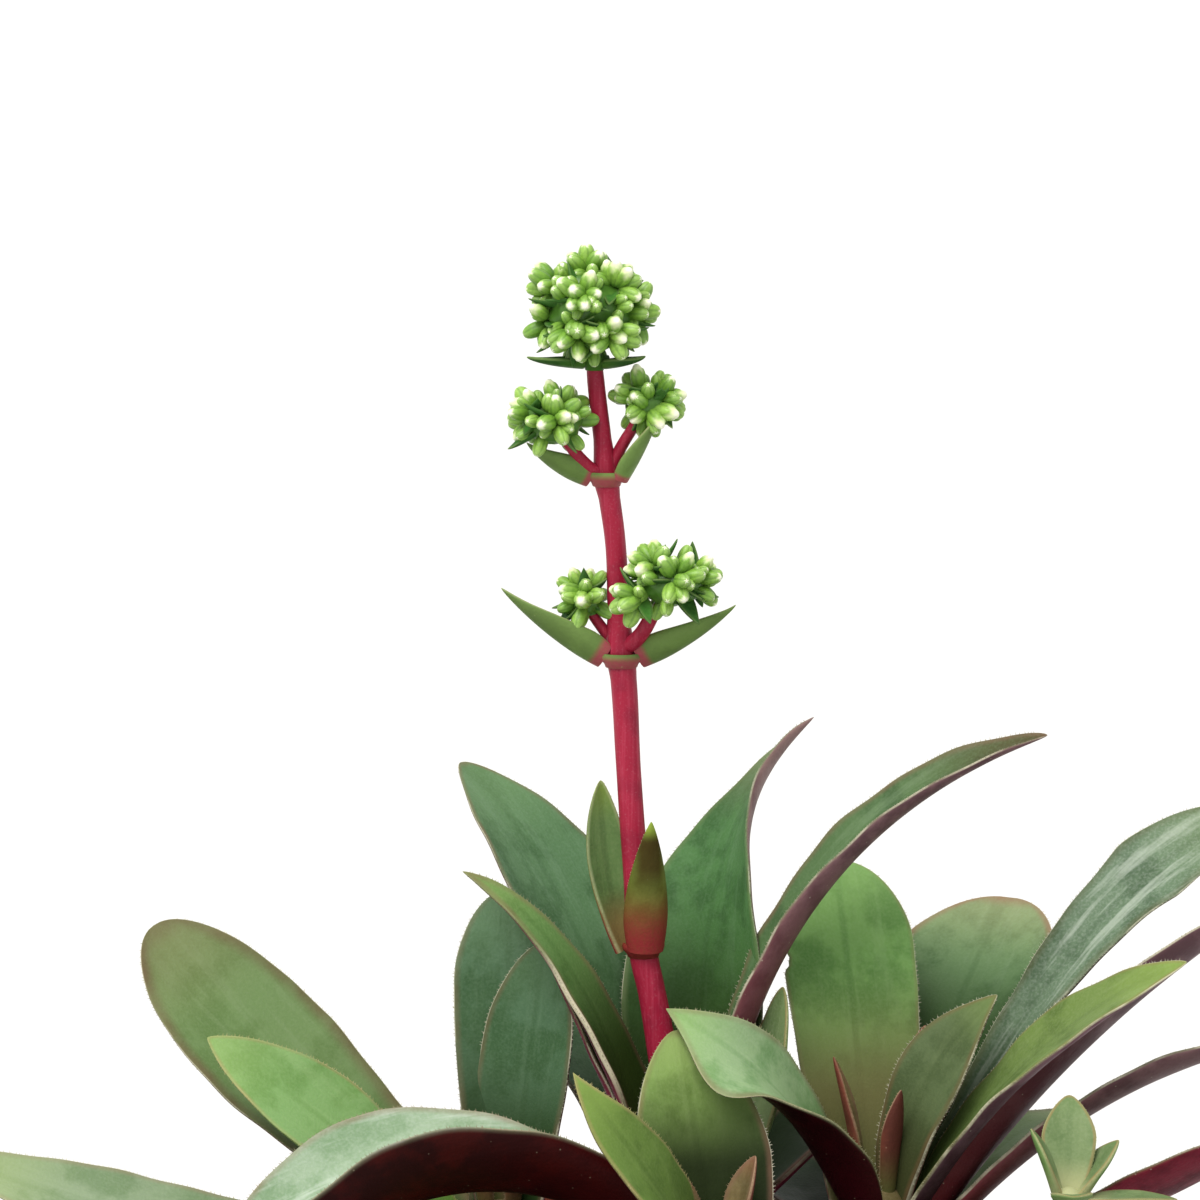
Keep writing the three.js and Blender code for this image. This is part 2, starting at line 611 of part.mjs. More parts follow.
// A head of buds: clusters of buds and pointed scales on a smaller core
const SCALE = { radius: 1.9, flat: 0.9, sides: 4 };
function budHead(head, grow = 0) {
  const centre = new THREE.Vector3(...head.at);
  const parts = [
    ball(centre, head.core, HEAD_CORE, grow),
    stem([[...head.foot, 1.1], [...head.at, 1.1]], 6, 1, grow),
  ];
  for (const [azimuth, elevation, reach, count] of head.clusters) {
    const middle = reachFrom(centre, azimuth, elevation, reach);
    const aim = reachFrom(new THREE.Vector3(), azimuth, elevation, 1);
    const turn = new THREE.Quaternion().setFromUnitVectors(new THREE.Vector3(0, 1, 0), aim);
    for (let i = 0; i < count; i += 1) {
      const lean = i === 0 ? 0 : radians(BUD.spread);
      const around = (2 * Math.PI * i) / (count - 1) + azimuth;
      const direction = new THREE.Vector3(
        Math.sin(lean) * Math.cos(around), Math.cos(lean), Math.sin(lean) * Math.sin(around),
      ).applyQuaternion(turn);
      const spot = middle.clone().addScaledVector(direction, BUD.out);
      parts.push(bud(spot, direction, grow));
    }
  }
  for (const [azimuth, elevation, reach] of head.scales) {
    const direction = reachFrom(new THREE.Vector3(), azimuth, elevation, 1);
    const cone = new THREE.ConeGeometry(SCALE.radius + grow, reach - 1, SCALE.sides);
    cone.scale(1, 1, SCALE.flat / SCALE.radius);
    cone.translate(0, (reach - 1) / 2 + 1, 0);
    cone.applyQuaternion(new THREE.Quaternion().setFromUnitVectors(new THREE.Vector3(0, 1, 0), direction));
    cone.translate(centre.x, centre.y, centre.z);
    parts.push(solidFrom(cone));
  }
  return largestBody(wasm.Manifold.union(parts));
}

// Offset plantlet with its runner
function plantlet(grow = 0) {
  const { runner, runnerSteps, radius, core, blades } = PLANTLET;
  const centre = new THREE.Vector3(...core.at);
  return wasm.Manifold.union([
    stem(runner.map((point) => [...point, radius]), YOUNG_LEAF.sides, runnerSteps, grow),
    ball(centre, [core.radius, core.radius, core.radius], core, grow),
    ...blades.map((leaf) => {
      const start = reachFrom(centre, leaf.heading, 0, core.radius * 0.4);
      return blade({ cup: [35, 15], ...leaf }, start, YOUNG_LEAF, grow);
    }),
  ]);
}

// Assembly
const plant = new THREE.Group();
plant.name = 'potted_crassula_rosularis';
const potGroup = new THREE.Group();
plant.add(potGroup);

addPiece(potGroup, 'pot', pot(), pot(CLEARANCE), plastic, new THREE.Vector3(0, 0, 0));

const rosetteGroups = new Map();
for (const rosette of ROSETTES) {
  const group = new THREE.Group();
  group.position.set(rosette.at[0], rosette.at[1], 0);
  plant.add(group);
  rosetteGroups.set(rosette.name, group);
}
const flower = new THREE.Group();
flower.position.set(STALK[0][0], STALK_Y, STALK[0][1]);
plant.add(flower);

addPiece(flower, 'flower_stalk', flowerStalk(), flowerStalk(CLEARANCE), stalkRed, flower.position);
for (const rosette of ROSETTES) {
  const anchor = new THREE.Vector3(rosette.at[0], rosette.at[1], CROWN.foot);
  const group = rosetteGroups.get(rosette.name);
  const solid = keptClear(crown(rosette));
  addPiece(group, `crown_${rosette.name}`, solid, crown(rosette, CLEARANCE), crownGreen, anchor);
}
addPiece(potGroup, 'soil', keptClear(soil()), soil(CLEARANCE), earth, new THREE.Vector3(0, 0, POT.floor));

for (const pair of BRACT_PAIRS) {
  const anchor = new THREE.Vector3(stalkAt(pair.z).x, STALK_Y, pair.z);
  addPiece(flower, pair.name, keptClear(bractPair(pair)), bractPair(pair, CLEARANCE), bractGreen, anchor);
}
for (const head of BUD_HEADS) {
  const anchor = new THREE.Vector3(...head.at);
  addPiece(flower, head.name, keptClear(budHead(head)), budHead(head, CLEARANCE), budGreen, anchor);
}

const SUNK = 1.2; // how far a leaf's base would run into its crown
for (const rosette of ROSETTES) {
  for (const leaf of rosette.leaves) {
    const axis = new THREE.Vector3(rosette.at[0], rosette.at[1], leaf.level);
    const start = reachFrom(axis, leaf.heading, 0, crownRadius(rosette, leaf.level) - SUNK);
    const solid = keptClear(blade(leaf, start, LEAF));
    const grown = blade(leaf, start, LEAF, CLEARANCE);
    const group = rosetteGroups.get(rosette.name);
    addPiece(group, `leaf_${rosette.name}_${leaf.name}`, solid, grown, leafGreen, start);
  }
}
const plantletAnchor = new THREE.Vector3(...PLANTLET.runner[0]);
addPiece(rosetteGroups.get('right'), PLANTLET.name, keptClear(plantlet()), plantlet(CLEARANCE), paleGreen,
  plantletAnchor);

export default plant;
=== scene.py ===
"""Potted Crassula rosularis in flower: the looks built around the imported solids.

Four rosettes of fleshy leaves, a red flower stalk with bracts and heads of buds, and a small offset on a
runner stand in the soil of a moulded nursery pot. Sizes are in millimetres until a mesh is written. The frame
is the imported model's: X to the right, Y away from the viewer and Z up, with its origin under the pot.
"""

from __future__ import annotations

import logging
import math
import random
from collections.abc import Callable
from dataclasses import dataclass
from enum import Enum

import bpy
import numpy as np
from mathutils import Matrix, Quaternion, Vector, noise

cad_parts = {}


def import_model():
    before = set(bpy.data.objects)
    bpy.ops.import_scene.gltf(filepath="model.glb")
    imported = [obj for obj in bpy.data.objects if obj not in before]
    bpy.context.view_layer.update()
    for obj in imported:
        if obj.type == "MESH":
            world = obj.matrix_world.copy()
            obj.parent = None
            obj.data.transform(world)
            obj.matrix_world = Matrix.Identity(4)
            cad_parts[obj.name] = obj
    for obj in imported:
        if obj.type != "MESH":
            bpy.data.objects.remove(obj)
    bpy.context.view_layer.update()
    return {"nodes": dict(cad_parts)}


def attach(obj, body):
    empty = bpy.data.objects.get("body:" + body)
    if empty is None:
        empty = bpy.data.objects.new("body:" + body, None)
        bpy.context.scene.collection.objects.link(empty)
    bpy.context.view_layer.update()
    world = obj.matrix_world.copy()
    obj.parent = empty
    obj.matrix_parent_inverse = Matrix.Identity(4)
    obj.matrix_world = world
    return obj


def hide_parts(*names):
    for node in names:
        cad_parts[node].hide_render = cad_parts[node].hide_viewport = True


Piece = bpy.types.Object
Material = bpy.types.Material
Socket = bpy.types.NodeSocket
Tree = bpy.types.NodeTree
Pair = tuple[float, float]
Spot = tuple[float, float, float]

LOG = logging.getLogger("crassula")
MM = 0.001
ROOT = "root"
GOLDEN_ANGLE = 137.508
FAR_FROM_RIM = 5.0  # a rim mark that keeps the rim's colours off a piece, in millimetres

# Shared moves


def linear(colour: str) -> tuple[float, float, float, float]:
    """Turns an sRGB hex value, such as "#62836a", to linear red, green and blue with an alpha of 1."""
    shares = [int(colour[i : i + 2], 16) / 255 for i in (1, 3, 5)]
    return (*(s / 12.92 if s <= 0.04045 else ((s + 0.055) / 1.055) ** 2.4 for s in shares), 1.0)


def add_node(
    tree: Tree,
    kind: str,
    inputs: dict | None = None,
    out: int | str = 0,
    stops: tuple = (),
    **settings: object,
) -> Socket | None:
    """Adds one node with its settings, its values and its links.

    Args:
        tree: The material's node tree.
        kind: The node's type, without its first words.
        inputs: A value, a hex colour or an output for each input, by name or number.
        out: The output that is wanted.
        stops: A colour ramp's positions and hex colours, in order.
        settings: The node's own properties.

    Returns:
        The wanted output, where the node has any.
    """
    node = tree.nodes.new("ShaderNode" + kind)
    for key, value in settings.items():
        setattr(node, key, value)
    for socket, value in (inputs or {}).items():
        if isinstance(value, Socket):
            tree.links.new(value, node.inputs[socket])
        else:
            node.inputs[socket].default_value = linear(value) if isinstance(value, str) else value
    for number, (position, colour) in enumerate(stops):
        elements = node.color_ramp.elements
        element = elements[number] if number < 2 else elements.new(position)
        element.position = position
        element.color = linear(colour)
    return node.outputs[out] if len(node.outputs) else None


def lay(tree: Tree, colour: Socket | str, *layers: tuple, ease: str = "SMOOTHSTEP") -> Socket:
    """Lays colours over one another.

    Args:
        tree: The material's node tree.
        colour: The colour underneath.
        layers: Each layer's colour and the factors of its strength. A factor is a number, an output, or an
            output with the ends between which it counts and the strengths at the second and the first end.
        ease: How the strength runs between both ends.

    Returns:
        The colour on top.
    """
    keys = ("Value", "From Min", "From Max", "To Max", "To Min")
    for tint, *parts in layers:
        strength = None
        for part in parts:
            if isinstance(part, tuple):
                part = add_node(tree, "MapRange", dict(zip(keys, part)), interpolation_type=ease)
            if strength is not None:
                part = add_node(tree, "Math", {0: strength, 1: part}, operation="MULTIPLY")
            strength = part
        colour = add_node(tree, "Mix", {0: strength, 6: colour, 7: tint}, 2, data_type="RGBA")
    return colour


def points_of(piece: Piece) -> np.ndarray:
    """Reads a mesh's points as rows of three numbers, in millimetres."""
    return np.array([point.co for point in piece.data.vertices], float) / MM


def set_points(piece: Piece, points: np.ndarray) -> None:
    """Writes a mesh's points, given in millimetres."""
    piece.data.vertices.foreach_set("co", (points * MM).ravel())
    piece.data.update()


def mark(piece: Piece, name: str, *numbers: object) -> None:
    """Writes three numbers for each point, or the same for all, which the finish reads by name."""
    values = np.stack([np.broadcast_to(number, len(piece.data.vertices)) for number in numbers], 1)
    piece.data.attributes.new(name, "FLOAT_VECTOR", "POINT").data.foreach_set("vector", values.ravel())


def add(primitive: Callable, **settings: object) -> Piece:
    """Adds a primitive, with everything else deselected.

    Args:
        primitive: The operator that adds it.
        settings: The operator's settings.

    Returns:
        The new piece.
    """
    bpy.ops.object.select_all(action="DESELECT")
    primitive(**settings)
    return bpy.context.object


def pick(*pieces: Piece) -> None:
    """Selects pieces alone and makes the first one active.

    Args:
        pieces: The pieces to select.
    """
    bpy.ops.object.select_all(action="DESELECT")
    for piece in pieces:
        piece.select_set(True)
    bpy.context.view_layer.objects.active = pieces[0]


def close_shell(piece: Piece, weld: float = 0.002) -> None:
    """Welds a shell's seams and poles, and turns its faces outwards.

    Args:
        piece: The shell.
        weld: The distance under which points are one, in millimetres.
    """
    pick(piece)
    bpy.ops.object.mode_set(mode="EDIT")
    bpy.ops.mesh.select_all(action="SELECT")
    bpy.ops.mesh.remove_doubles(threshold=weld * MM)
    bpy.ops.mesh.normals_make_consistent(inside=False)
    bpy.ops.object.mode_set(mode="OBJECT")


def smooth(piece: Piece, angle: float = 50.0) -> None:
    """Shades a piece smooth, apart from edges sharper than the angle in degrees."""
    pick(piece)
    bpy.ops.object.shade_smooth_by_angle(angle=math.radians(angle))


def join(pieces: list[Piece], name: str) -> Piece:
    """Joins pieces into the first one.

    Args:
        pieces: The pieces, of which all but the first are used up.
        name: The whole's name.

    Returns:
        The whole.
    """
    pick(*pieces)
    if len(pieces) > 1:
        bpy.ops.object.join()
    pieces[0].name = name
    pieces[0].data.name = name
    return pieces[0]


def apply_modifier(piece: Piece, kind: str, **settings: object) -> None:
    """Adds a modifier and applies it.

    Args:
        piece: The piece to change.
        kind: The modifier's type.
        settings: The modifier's own properties.
    """
    pick(piece)
    modifier = piece.modifiers.new(kind.lower(), kind)
    for key, value in settings.items():
        setattr(modifier, key, value)
    bpy.ops.object.modifier_apply(modifier=modifier.name)


def spin_up(name: str, profile: list[Pair], steps: int, centre: Pair = (0.0, 0.0)) -> Piece:
    """Spins a profile round an upright axis, as on a wheel.

    Args:
        name: The piece's name.
        profile: Radius and height of each point, from one end to the other.
        steps: The number of steps round the axis.
        centre: Where the axis stands in X and Y.

    Returns:
        The closed shell.
    """
    piece = add(bpy.ops.mesh.primitive_plane_add, size=MM, location=(0, 0, 0))
    piece.name = name
    bpy.ops.object.mode_set(mode="EDIT")
    bpy.ops.mesh.merge(type="CENTER")
    spots = [Vector((centre[0] + radius, centre[1], z)) * MM for radius, z in profile]
    bpy.ops.transform.translate(value=spots[0])
    for last, spot in zip(spots, spots[1:]):
        bpy.ops.mesh.extrude_region_move(TRANSFORM_OT_translate={"value": spot - last})
    bpy.ops.mesh.select_all(action="SELECT")
    axis = (centre[0] * MM, centre[1] * MM, 0)
    bpy.ops.mesh.spin(steps=steps, angle=math.tau, center=axis, axis=(0, 0, 1))
    bpy.ops.object.mode_set(mode="OBJECT")
    close_shell(piece)
    return piece


def draw_stem(name: str, spots: list[tuple], facets: int = 5) -> Piece:
    """Draws a round stem along a smooth curve.

    Args:
        name: The piece's name.
        spots: X, Y, Z and radius of each point.
        facets: How finely the section is rounded.

    Returns:
        The stem as a closed mesh.
    """
    curve = add(bpy.ops.curve.primitive_bezier_curve_add, location=(0, 0, 0)).data
    curve.dimensions = "3D"
    curve.bevel_depth = MM
    curve.bevel_resolution = facets
    curve.resolution_u = 10
    curve.use_fill_caps = True
    knots = curve.splines[0].bezier_points
    knots.add(len(spots) - 2)
    for knot, (x, y, z, radius) in zip(knots, spots):
        knot.co = Vector((x, y, z)) * MM
        knot.radius = radius
    for knot in knots:
        knot.handle_left_type = "AUTO"
        knot.handle_right_type = "AUTO"
    bpy.ops.object.convert(target="MESH")
    stem = bpy.context.object
    stem.name = name
    close_shell(stem)
    return stem


def repeat(pattern: Piece, places: np.ndarray, name: str, tones: np.ndarray) -> Piece:
    """Copies a modelled pattern to many places, all in one mesh.

    Args:
        pattern: The piece that repeats. It is removed afterwards.
        places: A matrix of three rows and four columns for each copy, in millimetres.
        name: The new piece's name.
        tones: A number for each copy, written as the third number of each mark.

    Returns:
        The piece with all copies.
    """
    points = points_of(pattern)
    faces = [tuple(face.vertices) for face in pattern.data.polygons]
    moved = np.einsum("nij,kj->nki", places[:, :, :3], points) + places[:, None, :, 3]
    size = len(points)
    shifted = [tuple(corner + size * n for corner in face) for n in range(len(places)) for face in faces]
    mesh = bpy.data.meshes.new(name)
    mesh.from_pydata((moved.reshape(-1, 3) * MM).tolist(), [], shifted)
    piece = bpy.data.objects.new(name, mesh)
    bpy.context.collection.objects.link(piece)
    for layer in pattern.data.attributes:
        if layer.data_type != "FLOAT_VECTOR" or layer.domain != "POINT" or layer.name == "position":
            continue
        values = np.empty(size * 3)
        layer.data.foreach_get("vector", values)
        first, second, _ = np.tile(values.reshape(-1, 3), (len(places), 1)).T
        mark(piece, layer.name, first, second, np.repeat(tones, size))
    bpy.data.objects.remove(pattern)
    return piece


def basis(direction: np.ndarray, turn: float = 0.0) -> np.ndarray:
    """Finds three right-handed axes, the third along a direction.

    Args:
        direction: The third axis, of any length.
        turn: How far the others turn round it, in radians.

    Returns:
        The axes as columns.
    """
    along = Vector(direction).normalized()
    turned = along.to_track_quat("Z", "Y").to_matrix()
    cosine, sine = math.cos(turn), math.sin(turn)
    return np.array(turned) @ np.array([[cosine, -sine, 0], [sine, cosine, 0], [0, 0, 1]])


def aim(azimuth: float, elevation: float) -> np.ndarray:
    """Finds the unit direction at an azimuth and an elevation in degrees."""
    around, rise = math.radians(azimuth), math.radians(elevation)
    return np.array([math.cos(around) * math.cos(rise), math.sin(around) * math.cos(rise), math.sin(rise)])


def dress(piece: Piece, skin: Material) -> None:
    """Gives a piece its one finish."""
    piece.data.materials.clear()
    piece.data.materials.append(skin)


def deliver(piece: Piece, node: str, skin: Material | None = None) -> None:
    """Hands a finished piece to the frame in place of its plain solid.

    Args:
        piece: The finished piece.
        node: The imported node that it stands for.
        skin: The finish, where the piece doesn't have one yet.
    """
    if skin is not None:
        dress(piece, skin)
    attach(piece, ROOT)
    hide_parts(node)
    LOG.info("%s stands for %s with %d faces", piece.name, node, len(piece.data.polygons))


# Finishes


class Finish:
    """A finish: patterns on object coordinates, or on the piece's own marks, that feed one shader."""

    def inputs(self, tree: Tree, place: Socket) -> dict:
        """Lays the patterns out and gives what the shader's sockets get."""
        raise NotImplementedError

    def material(self, name: str) -> Material:
        """Builds the finish.

        Args:
            name: The material's name.

        Returns:
            The material.
        """
        material = bpy.data.materials.new(name)
        material.use_nodes = True
        tree = material.node_tree
        tree.nodes.clear()
        place = add_node(tree, "TexCoord", out="Object")
        shader = add_node(tree, "BsdfPrincipled", self.inputs(tree, place))
        add_node(tree, "OutputMaterial", {"Surface": shader})
        return material


@dataclass(frozen=True)
class LeafSkin(Finish):
    """Fleshy Crassula leaf: waxy skin with a thin bloom, green above and anthocyanin red below.

    The wax scatters light, so the gloss is broad and soft. The margins carry a pale horny rim.
    """

    top: str
    deep: str
    pale: str
    tip: str
    # the foot's colour: partly the leaf's own darker, redder base and partly painted shade where the leaves
    # crowd at the crown
    foot: str
    under: tuple[str, str, str] = ("#6b3944", "#36121a", "#8f2f4c")  # the underside, its patches and its foot
    flush: str = "#7a5a4c"
    rim: str = "#cfccb6"
    streak: float = 0.16  # strength of the pale streaks
    flush_reach: float = 1.6  # how far the margin's flush reaches in
    flush_share: float = 0.45
    midrib: float = 0.35
    young: float = 0.5  # how much the tip's colour shows
    foot_shade_reach: float = 0.55  # share of the length where the foot's colour, partly painted shade, starts
    foot_shade_full: float = 0.1  # and where it is full
    under_reach: float = 0.55  # the same on the underside
    dusky: str = ""  # a darker middle near the tip of the underside
    dry: float = 0.0  # how far in a dried papery strip reaches from one margin, in millimetres
    parched: str = "#c3bba2"

    def inputs(self, tree: Tree, place: Socket) -> dict:
        """Lays out the two faces, the rim, the hairs and the broken gloss.

        Args:
            tree: The node tree.
            place: Object coordinates.

        Returns:
            The shader's inputs.
        """
        leaf = add_node(tree, "Attribute", out="Vector", attribute_name="leaf")
        edge = add_node(tree, "Attribute", out="Vector", attribute_name="edge")
        sideways, _, face = add_node(tree, "SeparateXYZ", {0: leaf}).node.outputs
        rim, share, hair = add_node(tree, "SeparateXYZ", {0: edge}).node.outputs
        across = add_node(tree, "Math", {0: sideways}, operation="ABSOLUTE")
        # Blotches of 7 mm, streaks 1 mm wide and 15 mm long, specks 1.5 mm apart and a grain of 0.35 mm
        blotched = {"Vector": place, "Scale": 140.0, "Detail": 4.0, "Roughness": 0.62}
        blotch = add_node(tree, "TexNoise", blotched)
        long = add_node(tree, "Mapping", {"Vector": leaf, "Scale": (0.55, 0.055, 0.3)})
        streaks = add_node(tree, "TexNoise", {"Vector": long, "Scale": 1.0, "Detail": 3.0, "Roughness": 0.6})
        specks = add_node(tree, "TexVoronoi", {"Vector": place, "Scale": 650.0, "Randomness": 1.0})
        grain = add_node(tree, "TexNoise", {"Vector": place, "Scale": 2800.0, "Detail": 2.0})
        fine = (grain, 0.35, 0.75, 0.16)
        top = lay(
            tree,
            self.top,
            (self.deep, (blotch, 0.44, 0.62, 0.75)),
            (self.pale, (streaks, 0.5, 0.68, self.streak)),
            (self.deep, (across, 0.7, 0.15, self.midrib)),
            (self.tip, (share, 0.72, 1.0, self.young)),
            (self.pale, fine),
            # Painted shade: the foot's colour darkens the lower leaf, over its own darker base
            (self.foot, (share, self.foot_shade_reach, self.foot_shade_full, 0.95)),
            (self.flush, (rim, self.flush_reach, 0.3, self.flush_share), blotch, 1.7),
        )
        base, patches, root = self.under
        under = lay(
            tree,
            base,
            (patches, (blotch, 0.4, 0.6, 0.8)),
            (root, (share, self.under_reach, 0.05, 0.9)),
            (self.rim, (specks, 0.09, 0.03, 0.35)),
            (patches, fine),
        )
        if self.dusky:
            middle = (self.dusky, (share, 0.36, 0.68, 0.85), (across, 2.3, 0.8))
            under = lay(tree, under, middle, (self.tip, (share, 0.84, 0.97)))
        worn = (self.rim, (rim, 0.2, 0.05, 0.5), (blotch, 0.42, 0.6, 1.0, 0.1))
        skin = lay(tree, under, (top, (face, -0.3, 0.1)), worn, (self.rim, hair, 0.5))
        if self.dry:
            strip = ((rim, self.dry, self.dry * 0.6), (sideways, 0.0, 0.4), (streaks, 0.38, 0.5))
            skin = lay(tree, skin, (self.parched, *strip, (share, 0.25, 0.4), (share, 0.78, 0.6)))
        ends = {"From Min": 0.3, "From Max": 0.7, "To Min": 0.4, "To Max": 0.58}
        gloss = add_node(tree, "MapRange", {"Value": blotch, **ends})
        relief = add_node(tree, "Math", {0: grain, 1: 0.5, 2: streaks}, operation="MULTIPLY_ADD")
        bump = add_node(tree, "Bump", {"Strength": 0.35, "Distance": 0.00025, "Height": relief})
        return {
            "Base Color": skin, "Roughness": gloss, "Normal": bump, "IOR": 1.42, "Specular IOR Level": 0.12,
            "Subsurface Weight": 0.06, "Subsurface Radius": (0.8, 1.0, 0.4), "Subsurface Scale": 0.0006,
        }


class Tone(Enum):
    """Kinds of leaf skin that the plant shows, some darkened or lightened with painted shade or light, with
    the top, patches, streaks, tip and foot in this order.
    """

    SLATE = LeafSkin("#52734e", "#3a5a36", "#7b987a", "#68855a", "#263c18", foot_shade_reach=0.64, foot_shade_full=0.2)
    TALL = LeafSkin(
        "#4f7a46", "#385c32", "#749670", "#8a8268", "#24360e", ("#8a6f6c", "#6d5254", "#5c3038"), "#6f7a52",
        young=0.7, foot_shade_reach=0.66, foot_shade_full=0.24,
    )
    SEA = LeafSkin(
        "#6f9062", "#4a6d42", "#90ab86", "#92906c", "#1f3512", flush="#8f6656", flush_reach=2.4,
        flush_share=0.65, foot_shade_reach=0.95, foot_shade_full=0.5,
    )
    LIT = LeafSkin(
        "#719b56", "#4f7a3c", "#94b27c", "#7c9e60", "#64603c", flush="#8a7a5c", flush_reach=1.0,
        flush_share=0.3, foot_shade_reach=0.75, foot_shade_full=0.3, midrib=0.55,
    )
    LIME = LeafSkin(
        "#7a9f62", "#648a4a", "#98b47c", "#8eaa66", "#4f7028", ("#566f34", "#425425", "#8f2f4c"), "#94805a",
        "#b7ab7c", flush_reach=0.9,
    )
    SAGE = LeafSkin(
        "#7f9273", "#677f5a", "#9dac90", "#9fb070", "#4a6a32", ("#4a202c", "#2c0c16", "#5a1a2e"), "#8f7c66"
    )
    # Its underside goes near-black towards the foot: painted shadow in the gap beneath the leaf
    OLIVE = LeafSkin(
        "#62783e", "#4b602e", "#8a9a6e", "#88a14f", "#3a4c22", ("#8a6973", "#64434d", "#1c050c"), "#7d6a4a",
        flush_reach=1.0, foot_shade_reach=0.6, foot_shade_full=0.2, under_reach=0.8,
    )
    SHADED = LeafSkin(
        "#516040", "#3e4d2f", "#687650", "#70854c", "#35381f", flush="#6a5038", flush_reach=1.4,
        foot_shade_reach=0.6,
    )
    DUSK = LeafSkin(
        "#667f50", "#56703f", "#7e916a", "#75704e", "#384c22", flush="#64523e", flush_reach=3.6,
        flush_share=0.7, streak=0.2,
    )
    # Strong pale streaks: partly the skin's own streaks and partly a painted sheen
    STREAKED = LeafSkin(
        "#5b7058", "#3b5039", "#b0baad", "#66784a", "#26391c", ("#6a404a", "#46202a", "#8f2f4c"), "#4c4a2c",
        streak=0.48, flush_reach=2.0,
    )
    WINE = LeafSkin(
        "#4c6640", "#385031", "#74896a", "#47301f", "#34502a", ("#76595d", "#543b41", "#661c22"), streak=0.3,
        under_reach=0.7, young=0.7,
    )
    PLUM = LeafSkin("#5c6a48", "#4a5638", "#77806a", "#6b5a48", "#38441f", ("#6c1c2c", "#400a16", "#5c0f24"))
    # Pale top and strong pale streaks: partly real bloom and partly a painted highlight; the near-black
    # underside is the real maroon darkened as painted shade
    FROST = LeafSkin(
        "#8b9f85", "#6b8763", "#bcc7ba", "#7e9678", "#4a6638", ("#340705", "#190202", "#3a080a"),
        rim="#9c8f7a", streak=0.6,
    )
    MOSS = LeafSkin(
        "#5c7636", "#486029", "#7b9152", "#8aa453", "#35461a", ("#3c1016", "#22060a", "#8f2f4c"), "#94805a",
        "#a39a6c", flush_reach=0.8,
    )
    # A darker copy of SLATE: painted shade for leaves that stand in the shade of others
    DEEP_SLATE = LeafSkin(
        "#49664a", "#33502f", "#6a8468", "#5d7a56", "#1e3012", flush="#66523f", foot_shade_reach=0.7, foot_shade_full=0.2
    )
    # Its near-black underside is the real maroon darkened as painted shade
    CREST = LeafSkin(
        "#86a176", "#5f8452", "#a4b994", "#86aa5c", "#4d7038", ("#30060c", "#160203", "#3a0812"),
        rim="#a8a284",
    )
    # Its lower part darkens to near-black: painted shadow cast by the folded leaf that arches over it
    FACE = LeafSkin(
        "#76924f", "#5c753a", "#90a56c", "#98ae6a", "#121a07", ("#2a060c", "#120203", "#8f2f4c"),
        foot_shade_reach=0.86, foot_shade_full=0.42,
    )
    DRY_EDGED = LeafSkin(
        "#5a7c44", "#3e602d", "#84a068", "#86a05c", "#22300e", dry=0.5, rim="#8f9270", foot_shade_reach=0.8,
        foot_shade_full=0.34,
    )
    HEART = LeafSkin(
        "#6e6040", "#544a2e", "#847a5c", "#74402f", "#4c6430", ("#6b3a2f", "#4f2a24", "#545a30"),
        rim="#a88c74",
    )
    OFFSET = LeafSkin(
        "#6c7f56", "#546b42", "#929f7a", "#5f7846", "#a3a67c", ("#748a54", "#5a7844", "#989a72"), "#9c764e",
        "#8f9a70", flush_reach=0.7, foot_shade_reach=0.45,
    )
    OLIVE_BRACT = LeafSkin(
        "#587443", "#445c33", "#7f9362", "#7f9438", "#7c6a40", ("#5f6a2e", "#4a4e1a", "#801c2a"), "#a0a67e",
        "#a6a880", dusky="#35240a", flush_reach=0.8, foot_shade_reach=0.4, midrib=0.5,
    )
    GREEN_BRACT = LeafSkin(
        "#66863c", "#4d7030", "#87a05c", "#4c7c2c", "#a25a58", ("#6c8748", "#5c733e", "#9c3f50"), "#93685a",
        "#9aa474", foot_shade_reach=0.1, foot_shade_full=0.0, under_reach=0.12, flush_reach=0.7,
    )
    BUD_SCALE = LeafSkin(
        "#3f702b", "#2c5522", "#608c44", "#2f5426", "#446c28", ("#3a6429", "#2b4a22", "#446c28"), "#4b5632",
        "#7f9658", flush_reach=0.5,
    )


@dataclass(frozen=True)
class StalkSkin(Finish):
    """Young flower stalk: thin waxy skin over crimson sap, so it is satin and slightly translucent."""

    crimson: str = "#971a36"
    rose: str = "#ad3850"
    shade: str = "#72112b"
    bloom: str = "#a8606e"

    def inputs(self, tree: Tree, place: Socket) -> dict:
        """Lays out long streaks, a paler bloom in patches and fine grain.

        Args:
            tree: The node tree.
            place: Object coordinates.

        Returns:
            The shader's inputs.
        """
        # Streaks 0.4 mm wide and 8 mm long, patches of 4 mm and a grain of 0.3 mm
        long = add_node(tree, "Mapping", {"Vector": place, "Scale": (2400.0, 2400.0, 120.0)})
        streaks = add_node(tree, "TexNoise", {"Vector": long, "Scale": 1.0})
        patches = add_node(tree, "TexNoise", {"Vector": place, "Scale": 240.0, "Detail": 3.0})
        grain = add_node(tree, "TexNoise", {"Vector": place, "Scale": 3600.0, "Detail": 2.0})
        colour = lay(
            tree,
            self.crimson,
            (self.rose, (streaks, 0.5, 0.7, 0.55)),
            (self.shade, (patches, 0.5, 0.7, 0.6)),
            (self.bloom, (grain, 0.55, 0.8, 0.3)),
            ease="LINEAR",
        )
        bump = add_node(tree, "Bump", {"Strength": 0.3, "Distance": 0.00015, "Height": streaks})
        return {
            "Base Color": colour, "Roughness": 0.46, "Normal": bump, "IOR": 1.42, "Specular IOR Level": 0.3,
            "Subsurface Weight": 0.08, "Subsurface Radius": (1.0, 0.4, 0.4), "Subsurface Scale": 0.0005,
        }


